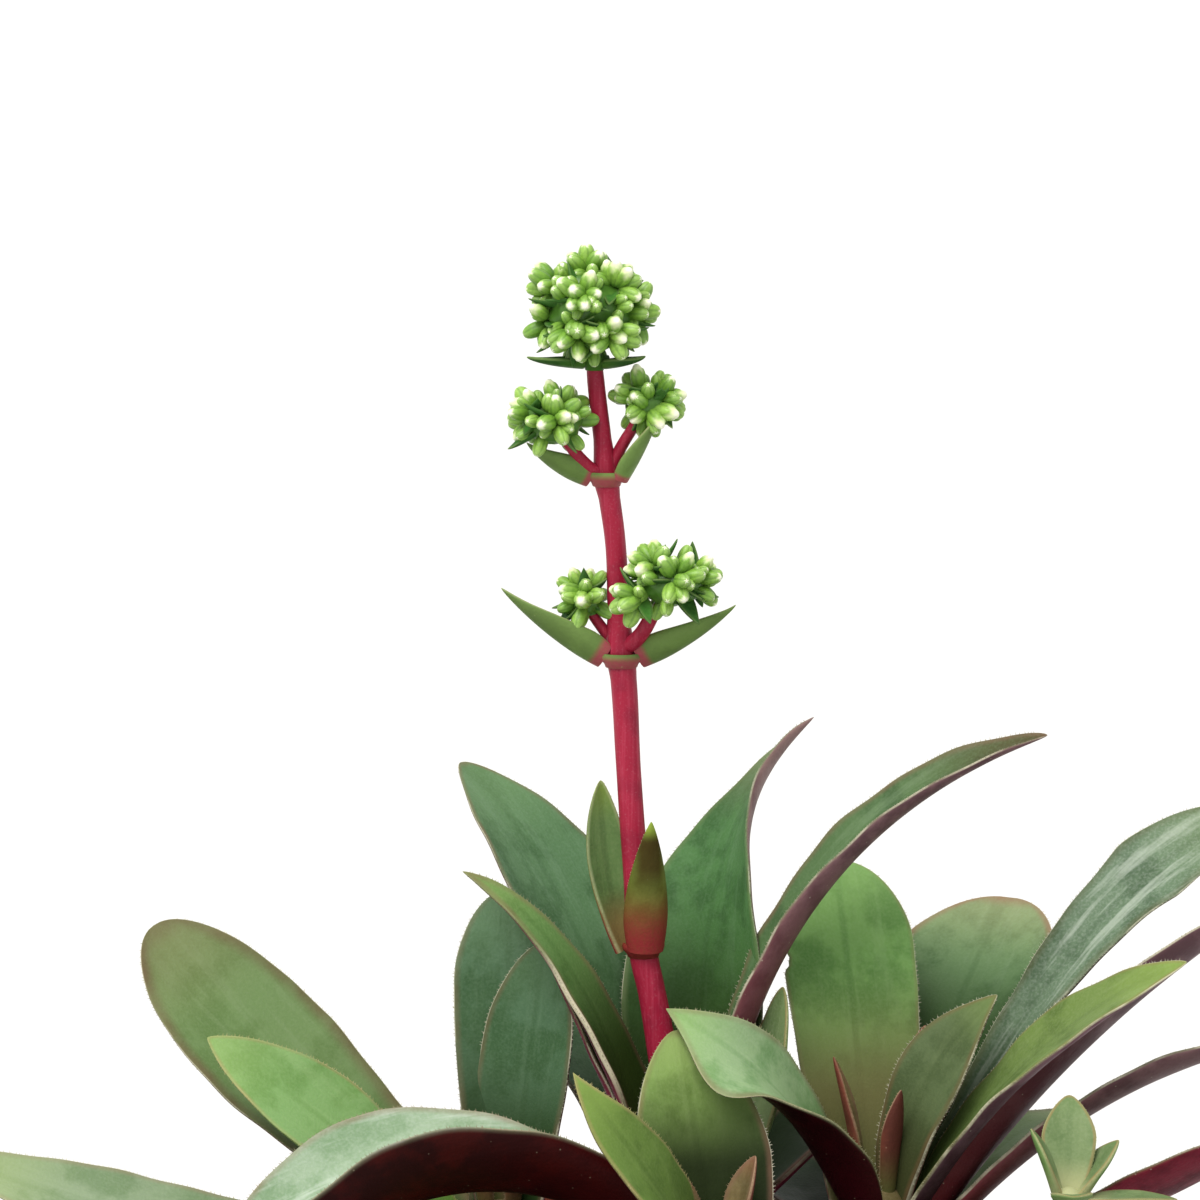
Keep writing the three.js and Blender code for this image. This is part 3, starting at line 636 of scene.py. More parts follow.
@dataclass(frozen=True)
class BudSkin(Finish):
    """Closed flower bud: plump shiny green sepals round a dome of cream petals."""

    green: str = "#6b9832"
    bright: str = "#92ba4e"
    pale: str = "#b3cf82"
    deep: str = "#33601f"
    seam: str = "#2f5a1e"
    petal: str = "#f9f8e8"
    petal_foot: str = "#c9d89c"

    def inputs(self, tree: Tree, place: Socket) -> dict:
        """Lays out the sepals and the petals from the bud's own marks.

        Args:
            tree: The node tree.
            place: Object coordinates.

        Returns:
            The shader's inputs.
        """
        bud = add_node(tree, "Attribute", out="Vector", attribute_name="bud")
        form = add_node(tree, "Attribute", out="Vector", attribute_name="form")
        sepal, height, tone = add_node(tree, "SeparateXYZ", {0: bud}).node.outputs
        lobe = add_node(tree, "SeparateXYZ", {0: form})
        # Cells of 0.4 mm give the sepals their slight unevenness
        grain = add_node(tree, "TexNoise", {"Vector": place, "Scale": 2400.0, "Detail": 2.0})
        green = lay(
            tree,
            self.green,
            (self.bright, (tone, 0.0, 1.0, 0.8)),
            # Painted shade: the sepals darken towards the bud's foot, where the buds crowd on the head
            (self.deep, (height, 0.55, 0.05, 0.85)),
            (self.deep, (grain, 0.4, 0.7, 0.3)),
            (self.pale, (height, 0.6, 0.84, 0.3)),
            (self.seam, (lobe, 0.4, 0.02, 0.82)),
            ease="LINEAR",
        )
        cream = lay(tree, self.petal, (self.petal_foot, (height, 1.0, 0.7)), ease="LINEAR")
        return {
            "Base Color": lay(tree, cream, (green, sepal)), "Roughness": 0.38, "IOR": 1.42,
            "Subsurface Weight": 0.12, "Subsurface Radius": (0.7, 1.0, 0.3), "Subsurface Scale": 0.0004,
        }


@dataclass(frozen=True)
class GroundSkin(Finish):
    """Dry or damp grains, such as peat, bark or perlite: broken, dull and uneven in colour."""

    dark: str
    mid: str
    light: str
    scale: float  # patches to a metre, and a bump six times as fine

    def inputs(self, tree: Tree, place: Socket) -> dict:
        """Lays out three tones from two sizes of noise, with a rough bump.

        Args:
            tree: The node tree.
            place: Object coordinates.

        Returns:
            The shader's inputs.
        """
        broad = {"Vector": place, "Scale": self.scale, "Detail": 6.0, "Roughness": 0.7}
        stops = ((0.35, self.dark), (0.52, self.mid), (0.7, self.light))
        colour = add_node(tree, "ValToRGB", {0: add_node(tree, "TexNoise", broad)}, stops=stops)
        fine = add_node(tree, "TexNoise", {"Vector": place, "Scale": self.scale * 6, "Detail": 4.0})
        bump = add_node(tree, "Bump", {"Strength": 0.7, "Distance": 0.0006, "Height": fine})
        return {"Base Color": colour, "Roughness": 0.92, "Normal": bump, "IOR": 1.45}


@dataclass(frozen=True)
class PotPlastic(Finish):
    """Injection-moulded polypropylene: satin, evenly dyed terracotta brown, with faint flow marks."""

    clay: str = "#94503a"
    worn: str = "#9b5942"
    deep: str = "#8c4a34"

    def inputs(self, tree: Tree, place: Socket) -> dict:
        """Lays out flow marks round the wall, fine dust scuffs and a moulded grain.

        Args:
            tree: The node tree.
            place: Object coordinates.

        Returns:
            The shader's inputs.
        """
        # Flow marks 2.5 mm high run round the wall, and scuffs are 0.8 mm
        round_wall = add_node(tree, "Mapping", {"Vector": place, "Scale": (30.0, 30.0, 400.0)})
        flow = add_node(tree, "TexNoise", {"Vector": round_wall, "Scale": 1.0, "Detail": 3.0})
        scuffs = add_node(tree, "TexNoise", {"Vector": place, "Scale": 1200.0, "Detail": 4.0})
        stops = ((0.35, self.deep), (0.55, self.clay), (0.75, self.worn))
        colour = add_node(tree, "ValToRGB", {0: flow}, stops=stops)
        ends = {"From Min": 0.35, "From Max": 0.7, "To Min": 0.36, "To Max": 0.52}
        gloss = add_node(tree, "MapRange", {"Value": scuffs, **ends})
        bump = add_node(tree, "Bump", {"Strength": 0.2, "Distance": 0.0001, "Height": scuffs})
        return {"Base Color": colour, "Roughness": gloss, "Normal": bump, "IOR": 1.49}


class Paper(Finish):
    """Matt white paper with a painted shadow: a little greyer near the pot, where it throws less light up
    under the leaves, so that the backdrop stays even.
    """

    def inputs(self, tree: Tree, place: Socket) -> dict:
        """Lays out faint fibres, and a tone by the distance from the pot: a painted shadow that is greyest
        near it.

        Args:
            tree: The node tree.
            place: Object coordinates.

        Returns:
            The shader's inputs.
        """
        fibres = add_node(tree, "TexNoise", {"Vector": place, "Scale": 900.0})
        bump = add_node(tree, "Bump", {"Strength": 0.1, "Distance": 0.0001, "Height": fibres})
        distance = add_node(tree, "VectorMath", {0: place}, "Value", operation="LENGTH")
        # Painted shadow: grey round the pot, paler from 0.31 m out
        tone = add_node(tree, "ValToRGB", {0: distance}, stops=((0.12, "#b4b4b4"), (0.31, "#d4d4d4")))
        return {"Base Color": tone, "Roughness": 0.9, "Specular IOR Level": 0.1, "Normal": bump}


# Leaves


@dataclass(frozen=True)
class Section:
    """How finely a blade is laid out, and how thick it is at its foot."""

    sides: int
    rings: int
    thickness: float


LEAF = Section(36, 84, 1.9)
YOUNG_LEAF = Section(24, 40, 1.5)
BRACT = Section(24, 40, 1.2)
SCALE = Section(12, 14, 0.8)


@dataclass(frozen=True)
class Nick:
    """A bite out of a margin: which margin, how far along, how deep and how long.

    A negative depth is a smooth lobe instead.
    """

    side: int
    share: float
    depth: float
    reach: float


@dataclass(frozen=True)
class Blade:
    """One leaf's course, outline and fold, in the same terms as its solid."""

    name: str
    heading: float
    rise: Pair
    length: float
    width: float
    level: float = 0.0  # height of its foot on the crown
    tone: Tone = Tone.SLATE
    roll: Pair = (0.0, 0.0)  # degrees about its length, at its foot and tip
    turn: float = 0.0  # degrees that its heading changes
    bend: float = 1.3  # how late its rise changes
    cup: Pair = (42.0, 16.0)  # degrees from the midrib to a margin, at its foot and tip
    point: float = 0.6  # from 0 for a round tip to 1 for a pointed one
    widest: float = 0.6  # share of the length
    foot: float = 0.4  # half width at the foot, as a share of the widest
    swell: float = 1.8  # how early the blade widens
    wave: float = 0.25  # how far the margins ripple
    hair: float = 0.42  # length of the margin's hairs, or none
    nicks: tuple[Nick, ...] = ()

    TOP_SHARE = 0.4  # share of the thickness that lies above the sheet
    EASE = 1.4  # how much closer together the rings lie towards the tip
    STEPS = 192  # along the midrib
    FULLNESS = 0.75  # how square the section is
    TIP_POWER = 7  # how late the tip thins
    THINNING = 0.5  # share of the thickness that is lost towards the tip
    WAVES_FROM = 4  # the ripple is full from a quarter of the length on
    FAR_SIDE = -0.8  # the ripple of the right margin against the left
    TIP_RIM = 0.2
    HAIRLINE = 1e-4  # least half width
    SMOOTHED = 60  # degrees
    GROOVE_DEPTH = 0.16
    GROOVE_HALF = 0.9
    RIM_BULGE = 1.6
    RIPPLES = ((2.6, 1.0, 0.6), (1.35, 1.7, 0.4))  # run, phase and share of the margin's two waves
    TEARS = ((0.25, 9.0), (0.15, 23.0))  # depth and pitch of what roughens a bite
    HAIR_SPACING = 0.42
    HAIR_RADIUS = 0.06
    HAIR_COVER = 0.86
    HAIR_FIRST = 0.1
    HAIR_RUN = 0.885
    HAIR_LEAN = (-0.1, 0.7)
    HAIR_LENGTHS = (0.55, 1.1)
    HAIR_ROOT = 0.05

    @property
    def seed(self) -> int:
        """A whole number from the name, so that no two leaves ripple alike."""
        return sum(map(ord, self.name))

    def course(self, start: np.ndarray, share: np.ndarray) -> tuple[np.ndarray, ...]:
        """Follows the midrib.

        Args:
            start: Where the midrib begins.
            share: Shares of the length.

        Returns:
            The midrib's places, and the directions along it, across the blade and out of its face.
        """
        fine = np.linspace(0, 1, self.STEPS + 1)

        def heading_of(where: np.ndarray) -> tuple[np.ndarray, np.ndarray]:
            """Heading and slope in radians."""
            slope = self.rise[0] + (self.rise[1] - self.rise[0]) * where**self.bend
            return np.radians(self.heading + self.turn * where**2), np.radians(slope)

        def along_of(where: np.ndarray) -> np.ndarray:
            """Unit direction of the midrib."""
            angle, slope = heading_of(where)
            return np.stack([np.cos(slope) * np.cos(angle), np.cos(slope) * np.sin(angle), np.sin(slope)], 1)

        steps = along_of((fine[1:] + fine[:-1]) / 2) * self.length / self.STEPS
        path = np.vstack([np.zeros(3), np.cumsum(steps, axis=0)])
        spots = start + np.stack([np.interp(share, fine, path[:, axis]) for axis in range(3)], 1)
        angle, _ = heading_of(share)
        along = along_of(share)
        side = np.stack([-np.sin(angle), np.cos(angle), np.zeros_like(angle)], 1)
        up = np.cross(along, side)
        turned = np.radians(self.roll[0] + (self.roll[1] - self.roll[0]) * share**2)[:, None]
        across = side * np.cos(turned) + up * np.sin(turned)
        out = up * np.cos(turned) - side * np.sin(turned)
        return spots, along, across, out

    def half_width(self, share: np.ndarray, sideways: np.ndarray) -> np.ndarray:
        """Gives the half width towards one margin, with its nicks.

        Args:
            share: Shares of the length.
            sideways: The way to the margin, from -1 to 1.

        Returns:
            The half width in millimetres.
        """
        rising = 1 - (1 - self.foot) * np.clip(1 - share / self.widest, 0, 1) ** self.swell
        past = np.clip((share - self.widest) / (1 - self.widest), 0, 1)
        falling = (1 - self.point) * np.sqrt(1 - past * past) + self.point * (1 - past**1.5)
        half = self.width / 2 * np.where(share < self.widest, rising, falling)
        for nick in self.nicks:
            gap = (share - nick.share) * self.length / nick.reach
            torn = sum((depth * np.sin(gap * pitch) for depth, pitch in self.TEARS), 1.0)
            bite = nick.depth * (torn * np.exp(-(gap**4)) if nick.depth > 0 else np.exp(-(gap**2)))
            half = half - np.where(sideways * nick.side > 0, bite * np.abs(sideways) ** 2, 0)
        return np.maximum(half, self.HAIRLINE)

    def surface(
        self, start: np.ndarray, share: np.ndarray, phi: np.ndarray, section: Section
    ) -> tuple[np.ndarray, np.ndarray, np.ndarray]:
        """Lays points of a section out along the leaf.

        Args:
            start: Where the midrib begins.
            share: Share of the length of each point.
            phi: Angle of each point round the section, from the margin that lies to the left of the midrib.
            section: The blade's thickness.

        Returns:
            The points, the outward direction in the sheet and the half width of each.
        """
        spots, _, across, out = self.course(start, share)
        sideways, face = np.cos(phi), -np.sin(phi)
        half = self.half_width(share, sideways)
        curl = half / np.radians(self.cup[0] + (self.cup[1] - self.cup[0]) * share)
        angle = sideways * half / curl
        part = np.where(face > 0, self.TOP_SHARE, 1 - self.TOP_SHARE)
        taper = np.sqrt(np.clip(1 - share**self.TIP_POWER, 0, 1))
        swollen = np.sign(face) * np.abs(face) ** self.FULLNESS * part
        depth = swollen * section.thickness * (1 - self.THINNING * share) * taper
        groove = self.GROOVE_DEPTH * np.exp(-((sideways * half / self.GROOVE_HALF) ** 2))
        groove = groove * np.clip(face, 0, 1) * (1 - share)
        far = share * self.length
        waves = sum(part * np.sin(far / run + self.seed * phase) for run, phase, part in self.RIPPLES)
        ripple = self.wave * waves * np.abs(sideways) ** 3 * np.where(sideways > 0, 1, self.FAR_SIDE)
        ripple = ripple * np.clip(share * self.WAVES_FROM, 0, 1) * taper
        rising = curl - (curl - depth + groove) * np.cos(angle) + ripple
        points = spots + across * ((curl - depth) * np.sin(angle))[:, None] + out * rising[:, None]
        outward = across * (np.sign(sideways) * np.cos(angle))[:, None] + out * np.abs(np.sin(angle))[:, None]
        return points, outward, half

    def fringe(self, start: np.ndarray, section: Section) -> list[Piece]:
        """Sets fine pale hairs along both margins.

        Args:
            start: Where the midrib begins.
            section: The blade's thickness.

        Returns:
            The hairs as one piece, or nothing where the blade has none.
        """
        if self.hair <= 0:
            return []
        dice = random.Random(self.seed)
        count = int(self.length * self.HAIR_COVER / self.HAIR_SPACING)
        share = [self.HAIR_FIRST + self.HAIR_RUN * (n + dice.random()) / count for n in range(count)]
        share = np.array(share * 2)
        points, outward, _ = self.surface(start, share, np.repeat([0.0, math.pi], count), section)
        _, along, _, _ = self.course(start, share)
        lean = outward + along * np.array([[dice.uniform(*self.HAIR_LEAN)] for _ in share])
        lean /= np.linalg.norm(lean, axis=1)[:, None]
        third = np.cross(along, lean)
        third /= np.linalg.norm(third, axis=1)[:, None]
        length = np.array([[self.hair * dice.uniform(*self.HAIR_LENGTHS)] for _ in share])
        places = np.stack([np.cross(lean, third), third, lean * length, points - lean * self.HAIR_ROOT], 2)
        radius = self.HAIR_RADIUS * MM
        half_up = (0, 0, MM / 2)
        cone = add(bpy.ops.mesh.primitive_cone_add, vertices=3, radius1=radius, depth=MM, location=half_up)
        bpy.ops.object.transform_apply()
        for name in ("leaf", "edge"):
            mark(cone, name, 0.0, 0.0, 0.0)
        return [repeat(cone, places, self.name + "_fringe", np.ones(len(places)))]

    def build(self, start: np.ndarray, section: Section) -> Piece:
        """Models the blade from a sphere's grid, with the marks that its skin reads.

        Args:
            start: Where the midrib begins.
            section: How finely it is laid out, and its thickness.

        Returns:
            The blade with its hairs.
        """
        rings = section.rings
        sphere = bpy.ops.mesh.primitive_uv_sphere_add
        piece = add(sphere, segments=section.sides, ring_count=rings, radius=MM)
        ball = points_of(piece)
        ring = np.arccos(np.clip(ball[:, 2], -1, 1)) / math.pi * rings
        phi = np.arctan2(ball[:, 1], ball[:, 0])
        share = 1 - (1 - np.clip((ring - 1) / (rings - 1), 0, 1)) ** self.EASE
        points, _, half = self.surface(start, share, phi, section)
        pole = (ring < 0.5) | (ring > rings - 0.5)
        points[pole] = self.course(start, share)[0][pole]
        set_points(piece, points)
        mark(piece, "leaf", np.cos(phi) * half, share * self.length, -np.sin(phi))
        tip_gap = np.maximum(0.0, (1 - share) * self.length)
        rim = np.minimum(half * (1 - np.abs(np.cos(phi))) * self.RIM_BULGE, tip_gap + self.TIP_RIM)
        mark(piece, "edge", rim, share, 0.0)
        piece.name = self.name
        close_shell(piece)
        smooth(piece, self.SMOOTHED)
        return join([piece, *self.fringe(start, section)], self.name)


# Rosettes


@dataclass(frozen=True)
class Heart:
    """The fan of young leaves at a crown's top."""

    count: int
    first: float
    rise: Pair
    length: float
    width: float

    SHRINK = 0.16
    CUP = (50.0, 35.0)
    WAVE = 0.12
    HAIR = 0.3

    def leaf(self, name: str, number: int) -> Blade:
        """Gives one young leaf, smaller and steeper than the one before.

        Args:
            name: Its rosette's name.
            number: Its place in the fan.

        Returns:
            The leaf.
        """
        shrink = 1 - self.SHRINK * number
        rise = (self.rise[0] + 2 * number, self.rise[1] + 4 * number)
        return Blade(
            f"heart_{name}_{number}", self.first + GOLDEN_ANGLE * number, rise, self.length * shrink,
            self.width * shrink, cup=self.CUP, wave=self.WAVE, hair=self.HAIR,
        )


@dataclass(frozen=True)
class Rosette:
    """A crown with its heart of young leaves, and the leaves that stand round it."""

    name: str
    at: Pair
    top: float
    radius: float
    heart: Heart
    leaves: tuple[Blade, ...]

    FOOT = 66.0
    FOOT_RADIUS = 3.2
    HEAD_RADIUS = 3.4
    NECK = 8.0
    SUNK = 1.2  # how deep the leaves sit in the crown
    SCAR_PITCH = 1.8
    SCAR_DEPTH = 0.25
    HEART_SHARE = 0.45  # where the young leaves stand, as a share of the head's radius
    STEPS = 40

    def crown_radius(self, level: float) -> float:
        """Radius of the crown at a height."""
        share = min(max((level - self.top + self.NECK) / self.NECK, 0.0), 1.0)
        return self.radius + (self.HEAD_RADIUS - self.radius) * share

    def crown(self, skin: Material) -> None:
        """Models the short stem with its leaf scars and the young leaves on it.

        Args:
            skin: The finish of the young leaves.
        """
        head, reach, foot, neck = self.HEAD_RADIUS, self.radius, self.FOOT, self.top - self.NECK
        profile = [(0.0, foot), (self.FOOT_RADIUS, foot), (reach - 0.2, foot + 6)]
        level = foot + 8
        while level < neck:
            profile += [(reach, level), (reach - self.SCAR_DEPTH, level + 0.5)]
            level += self.SCAR_PITCH
        profile += [(reach, neck), (head, self.top), (head * 0.5, self.top + 1.6), (0.0, self.top + 2)]
        stub = spin_up(f"crown_{self.name}_grown", profile, self.STEPS, self.at)
        points = points_of(stub)
        share = np.clip((points[:, 2] - foot) / (self.top - foot), 0, 1)
        mark(stub, "leaf", points[:, 0], points[:, 2], 1.0)
        mark(stub, "edge", FAR_FROM_RIM, share * 0.5, 0.0)
        smooth(stub)
        parts = [stub]
        middle = np.array([*self.at, self.top - 1])
        for number in range(self.heart.count):
            young = self.heart.leaf(self.name, number)
            parts.append(young.build(middle + aim(young.heading, 0) * head * self.HEART_SHARE, YOUNG_LEAF))
        deliver(join(parts, stub.name), f"crown_{self.name}", skin)

    def build(self, skins: dict[Tone, Material]) -> None:
        """Models the crown and every leaf of the rosette.

        Args:
            skins: The leaves' finishes.
        """
        self.crown(skins[Tone.HEART])
        for leaf in self.leaves:
            middle = np.array([*self.at, leaf.level])
            start = middle + aim(leaf.heading, 0) * (self.crown_radius(leaf.level) - self.SUNK)
            node = f"leaf_{self.name}_{leaf.name}"
            piece = leaf.build(start, LEAF)
            piece.name = f"{node}_grown"
            deliver(piece, node, skins[leaf.tone])


# Each leaf's name, heading, rise at its foot and tip, length, width, height on the crown, tone and roll
MAIN_LEAVES = (
    Blade("tall_left", 143, (70, 36), 63.5, 23, 83, bend=2, cup=(50, 15), point=0.55, widest=0.62),
    Blade(
        "tall_right", 80, (79, 38), 65, 20.5, 84, Tone.TALL, (0, -36), -64, 2.2, cup=(32, 46), point=1,
        widest=0.45,
    ),
    Blade("arch_right", 356, (86, 16), 77, 11.5, 84, Tone.WINE, (2, 20), cup=(68, 48)),
    Blade(
        "inner_left", 186, (69, 26), 49, 9.5, 86, Tone.DRY_EDGED, (-25, -52), bend=3, cup=(40, 18),
        point=0.85, widest=0.3, foot=0.7,
    ),
    Blade("slender", 345, (66, 84), 32, 8.5, 82, Tone.OFFSET, (50, 50)),
    Blade("back", 98, (44, 6), 56, 15, 80),
    Blade("back_left", 119, (52, 18), 44, 14, 79),
    Blade("back_right", 40, (40, 8), 50, 14, 79, Tone.SEA),
)
LEFT_LEAVES = (
    Blade("blunt", 86, (74, 66), 42, 13.5, 82, Tone.DEEP_SLATE, cup=(35, 10), point=0.1, widest=0.72),
    Blade("small", 56, (76, 80), 34, 14, 83, Tone.DEEP_SLATE, point=0.3, foot=0.8),
    Blade("big", 160, (28, 49), 58, 20.5, 79, Tone.DUSK, (-20, -45), bend=0.6, point=0.1),
    Blade("light", 184, (46, 35), 43.5, 14.5, 78, Tone.LIME, (-25, -55), point=0.8),
    Blade("low", 188, (3, 28), 66, 16, 78, Tone.SAGE, (-10, -40)),
    Blade("back", 118, (18, -6), 54, 15, 78),
    Blade("back_low", 142, (6, -14), 42, 14, 78, Tone.DUSK),
    Blade("front_low", 232, (22, -26), 52, 15, 77, Tone.FROST),
    Blade("front", 262, (30, -20), 44, 14, 78, Tone.SEA),
)
RIGHT_LEAVES = (
    Blade(
        "upright", 106, (74, 66), 44, 17.4, 84, Tone.LIT, cup=(30, 10), point=0, widest=0.74, foot=0.62,
        nicks=(Nick(1, 0.72, 0.9, 1.2),),
    ),
    Blade(
        "broad", 56, (62, 38), 47.5, 25, 82, Tone.SEA, cup=(32, 10), point=0, widest=0.62,
        nicks=(Nick(-1, 0.6, 2.6, 2.6),),
    ),
    Blade(
        "long", 18, (58.5, 14), 72, 11.5, 82, Tone.STREAKED, (20, 40), bend=2.5, widest=0.75, foot=0.2,
        swell=0.85,
    ),
    Blade("light", 338, (61, 26), 52, 12, 82, Tone.OLIVE, (15, 36), cup=(42, 22), point=0.8),
    Blade("maroon", 0, (56, 30), 66, 13, 79, Tone.WINE, (-20, -30)),
    Blade("thin", 352, (52, 8), 60, 9, 77, Tone.WINE, (-10, -30)),
    Blade("corner", 338, (20, 38), 57, 18, 76, Tone.PLUM, (-10, -20)),
    Blade("short", 350, (89, 44), 29.5, 10, 86, Tone.SHADED, (60, 35), 8, 0.9, (30, 16), 0.8),
    Blade(
        "fold_left", 214, (60, 31), 39, 16.5, 84, Tone.CREST, (-8, -68), -32, cup=(80, 20), point=1,
        widest=0.45, nicks=(Nick(1, 0.77, -5.6, 4.0),),
    ),
    Blade("front_low", 290, (20, -28), 52, 14, 77, Tone.FROST),
    Blade("back_low", 82, (28, 0), 56, 14, 78),
    Blade("back_left", 114, (16, 2), 42, 13, 78, Tone.SEA),
    Blade("back_right", 54, (26, -2), 46, 14, 78, Tone.DUSK),
)
FRONT_LEAVES = (
    Blade(
        "arch_left", 184, (78, -57), 68, 31, 79, Tone.FROST, (17, -25), bend=0.69, cup=(80, 70), point=0.5,
        foot=0.05, swell=1.35,
    ),
    Blade("tip_left", 242, (52, 56), 36, 14, 81, Tone.MOSS, (-55, -56), -82, point=1, widest=0.35),
    Blade("face", 112, (77, 62), 29.5, 18, 82, Tone.FACE, point=0.4, widest=0.45, foot=0.7),
    Blade("low_left", 240, (24, -30), 46, 14, 77, Tone.SEA),
    Blade("low_right", 315, (26, -30), 48, 14, 77, Tone.FROST),
)
ROSETTES = (
    Rosette("main", (6, 4), 88, 4.4, Heart(2, 300, (80, 72), 14, 5), MAIN_LEAVES),
    Rosette("left", (-17, 2), 84, 4.2, Heart(3, 200, (82, 72), 14, 5), LEFT_LEAVES),
    Rosette("right", (29, 0), 87, 4.2, Heart(3, 35, (80, 68), 22, 4.8), RIGHT_LEAVES),
    Rosette("front", (9, -22), 84, 4.0, Heart(2, 30, (80, 68), 14, 5.5), FRONT_LEAVES),
)


# Flower stalk


@dataclass(frozen=True)
class Branch:
    """A red side branch that carries one head."""

    foot: Spot
    over: Spot
    head: Spot
    radius: float


@dataclass(frozen=True)
class FlowerStalk:
    """The red stalk with its side branches."""

    y: float = 4.0
    course: tuple[Spot, ...] = (  # X, Z and radius from the foot up
        (6.4, 84.5, 2.0), (5.4, 90, 2.0), (3.4, 100.5, 1.9), (1.5, 111.4, 1.7), (0.5, 116.1, 1.75),
        (-0.5, 127, 1.55), (-1.35, 139.1, 1.5), (-1.95, 149.9, 1.6), (-2.3, 153, 1.85), (-2.6, 158, 1.3),
        (-2.9, 166, 1.25), (-3.65, 171.8, 1.3), (-4.0, 174, 1.55), (-4.5, 179, 1.1), (-5.3, 186, 1.05),
        (-5.6, 190, 0.9),
    )
    branches: tuple[Branch, ...] = (
        Branch((-2.3, 4, 153.2), (-4.2, 4.4, 155.6), (-6.4, 4.8, 158.6), 0.7),
        Branch((-2.3, 4, 153.2), (0.0, 2.2, 155.4), (2.2, 0.6, 159.6), 0.95),
        Branch((-4.0, 4, 174), (-6.6, 2.8, 176.2), (-9.6, 1.6, 180.0), 0.75),
        Branch((-4.0, 4, 174), (-2.6, 4, 177.4), (-0.2, 4, 181.4), 0.75),
    )

    FACETS = 8
    BRANCH_FOOT = 1.15  # the branch's radius at its foot and head, as shares of its own
    BRANCH_HEAD = 0.9

    def at(self, height: float) -> Pair:
        """Where the stalk's middle is at a height, and its radius there."""
        x, z, radius = zip(*self.course)
        return float(np.interp(height, z, x)), float(np.interp(height, z, radius))

    def build(self, skin: Material) -> None:
        """Draws the stalk and its branches as one piece.

        Args:
            skin: The stalk's finish.
        """
        name = "flower_stalk_grown"
        parts = [draw_stem(name, [(x, self.y, z, radius) for x, z, radius in self.course], self.FACETS)]
        for number, branch in enumerate(self.branches):
            foot = (*branch.foot, branch.radius * self.BRANCH_FOOT)
            head = (*branch.head, branch.radius * self.BRANCH_HEAD)
            parts.append(draw_stem(f"branch_{number}", [foot, (*branch.over, branch.radius), head]))
        stalk = join(parts, name)
        smooth(stalk)
        deliver(stalk, "flower_stalk", skin)


@dataclass(frozen=True)
class BractPair:
    """Two bracts joined round the stalk by their collar."""

    node: str
    z: float
    tone: Tone
    bracts: tuple[Blade, ...]

    COLLAR = 0.6
    HALF_HEIGHT = 0.9
    CLEARANCE = 0.3
    GRIP = 0.02  # how close the collar lies on the stalk
    ROOT = 0.5  # where the bracts begin, from the stalk's skin
    CRIMSON_SHARE = 0.12  # how far up a bract's colours the collar's reach
    STEPS = 36

    def build(self, stalk: FlowerStalk, skin: Material) -> None:
        """Models the collar and both bracts as one piece.

        Args:
            stalk: The stalk that they stand on.
            skin: The bracts' finish.
        """
        z = self.z
        x, radius = stalk.at(z)
        outer = radius + self.CLEARANCE + self.COLLAR
        inner = radius + self.GRIP
        low, high = z - self.HALF_HEIGHT, z + self.HALF_HEIGHT
        profile = [
            (inner, low), (inner + 0.12, low + 0.05), (inner + 0.3, z - 0.4), (outer - 0.12, z + 0.1),
            (outer, z + 0.55), (outer - 0.12, high), (outer - 0.35, high), (inner, z + 0.5), (inner, low),
        ]
        ring = spin_up(f"{self.node}_collar", profile, self.STEPS, (x, stalk.y))
        risen = np.clip((points_of(ring)[:, 2] - low) / (high - low), 0, 1)
        mark(ring, "leaf", 0.0, 0.0, -1.0)
        mark(ring, "edge", FAR_FROM_RIM, self.CRIMSON_SHARE * risen, 0.0)
        smooth(ring)
        parts = [ring]
        for bract in self.bracts:
            start = np.array([x, stalk.y, z]) + aim(bract.heading, 0) * (radius + self.ROOT)
            parts.append(bract.build(start, BRACT))
        deliver(join(parts, f"{self.node}_grown"), self.node, skin)


FIRST_BRACTS = (
    Blade(
        "bract_a", 180, (72, 92), 21.2, 6.2, roll=(-60, -64), bend=1, cup=(60, 34), widest=0.55, foot=0.5,
        wave=0.12, hair=0.25,
    ),
    Blade(
        "bract_b", 284, (86, 82), 16.5, 6.6, cup=(75, 40), point=0.85, widest=0.25, foot=0.8, wave=0.12,
        hair=0.25,
    ),
)
SECOND_BRACTS = tuple(
    Blade(
        name, heading, rise, length, width, roll=roll, cup=(60, 40), point=1, widest=0.2, foot=0.8,
        wave=0.12, hair=0.12,
    )
    for name, heading, rise, length, width, roll in (
        ("bract_c", 184, (30, 44), 15.2, 6, (38, 20)),
        ("bract_d", 352, (24, 40), 13.6, 5.6, (-38, -20)),
    )
)
UPPER_BRACTS = tuple(
    Blade(
        name, heading, rise, length, width, roll=roll, cup=cup, point=1, widest=widest, foot=foot, wave=0.1,
        hair=0.1,
    )
    for name, heading, rise, length, width, roll, cup, widest, foot in (
        ("bract_e", 190, (22, 42), 9, 4.6, (40, 25), (60, 35), 0.25, 0.8),
        ("bract_f", 335, (56, 64), 9, 4.2, (0, 0), (60, 35), 0.3, 0.7),
        ("bract_g", 195, (2, 14), 7, 3.8, (0, 0), (40, 20), 0.3, 0.7),
        ("bract_h", 335, (4, 20), 5.4, 3.4, (0, 0), (40, 20), 0.3, 0.7),
    )
)
BRACT_PAIRS = (
    BractPair("bracts_first", 116.6, Tone.OLIVE_BRACT, FIRST_BRACTS),
    BractPair("bracts_second", 152.2, Tone.GREEN_BRACT, SECOND_BRACTS),
    BractPair("bracts_third", 174.2, Tone.GREEN_BRACT, UPPER_BRACTS[:2]),
    BractPair("bracts_fourth", 188.2, Tone.BUD_SCALE, UPPER_BRACTS[2:]),
)


# Bud heads


class BudStage(Enum):
    """How far up the sepals still close over the petals, as a share of the bud's length."""

    TIGHT = 0.84
    SWOLLEN = 0.72
    CREAM = 0.57


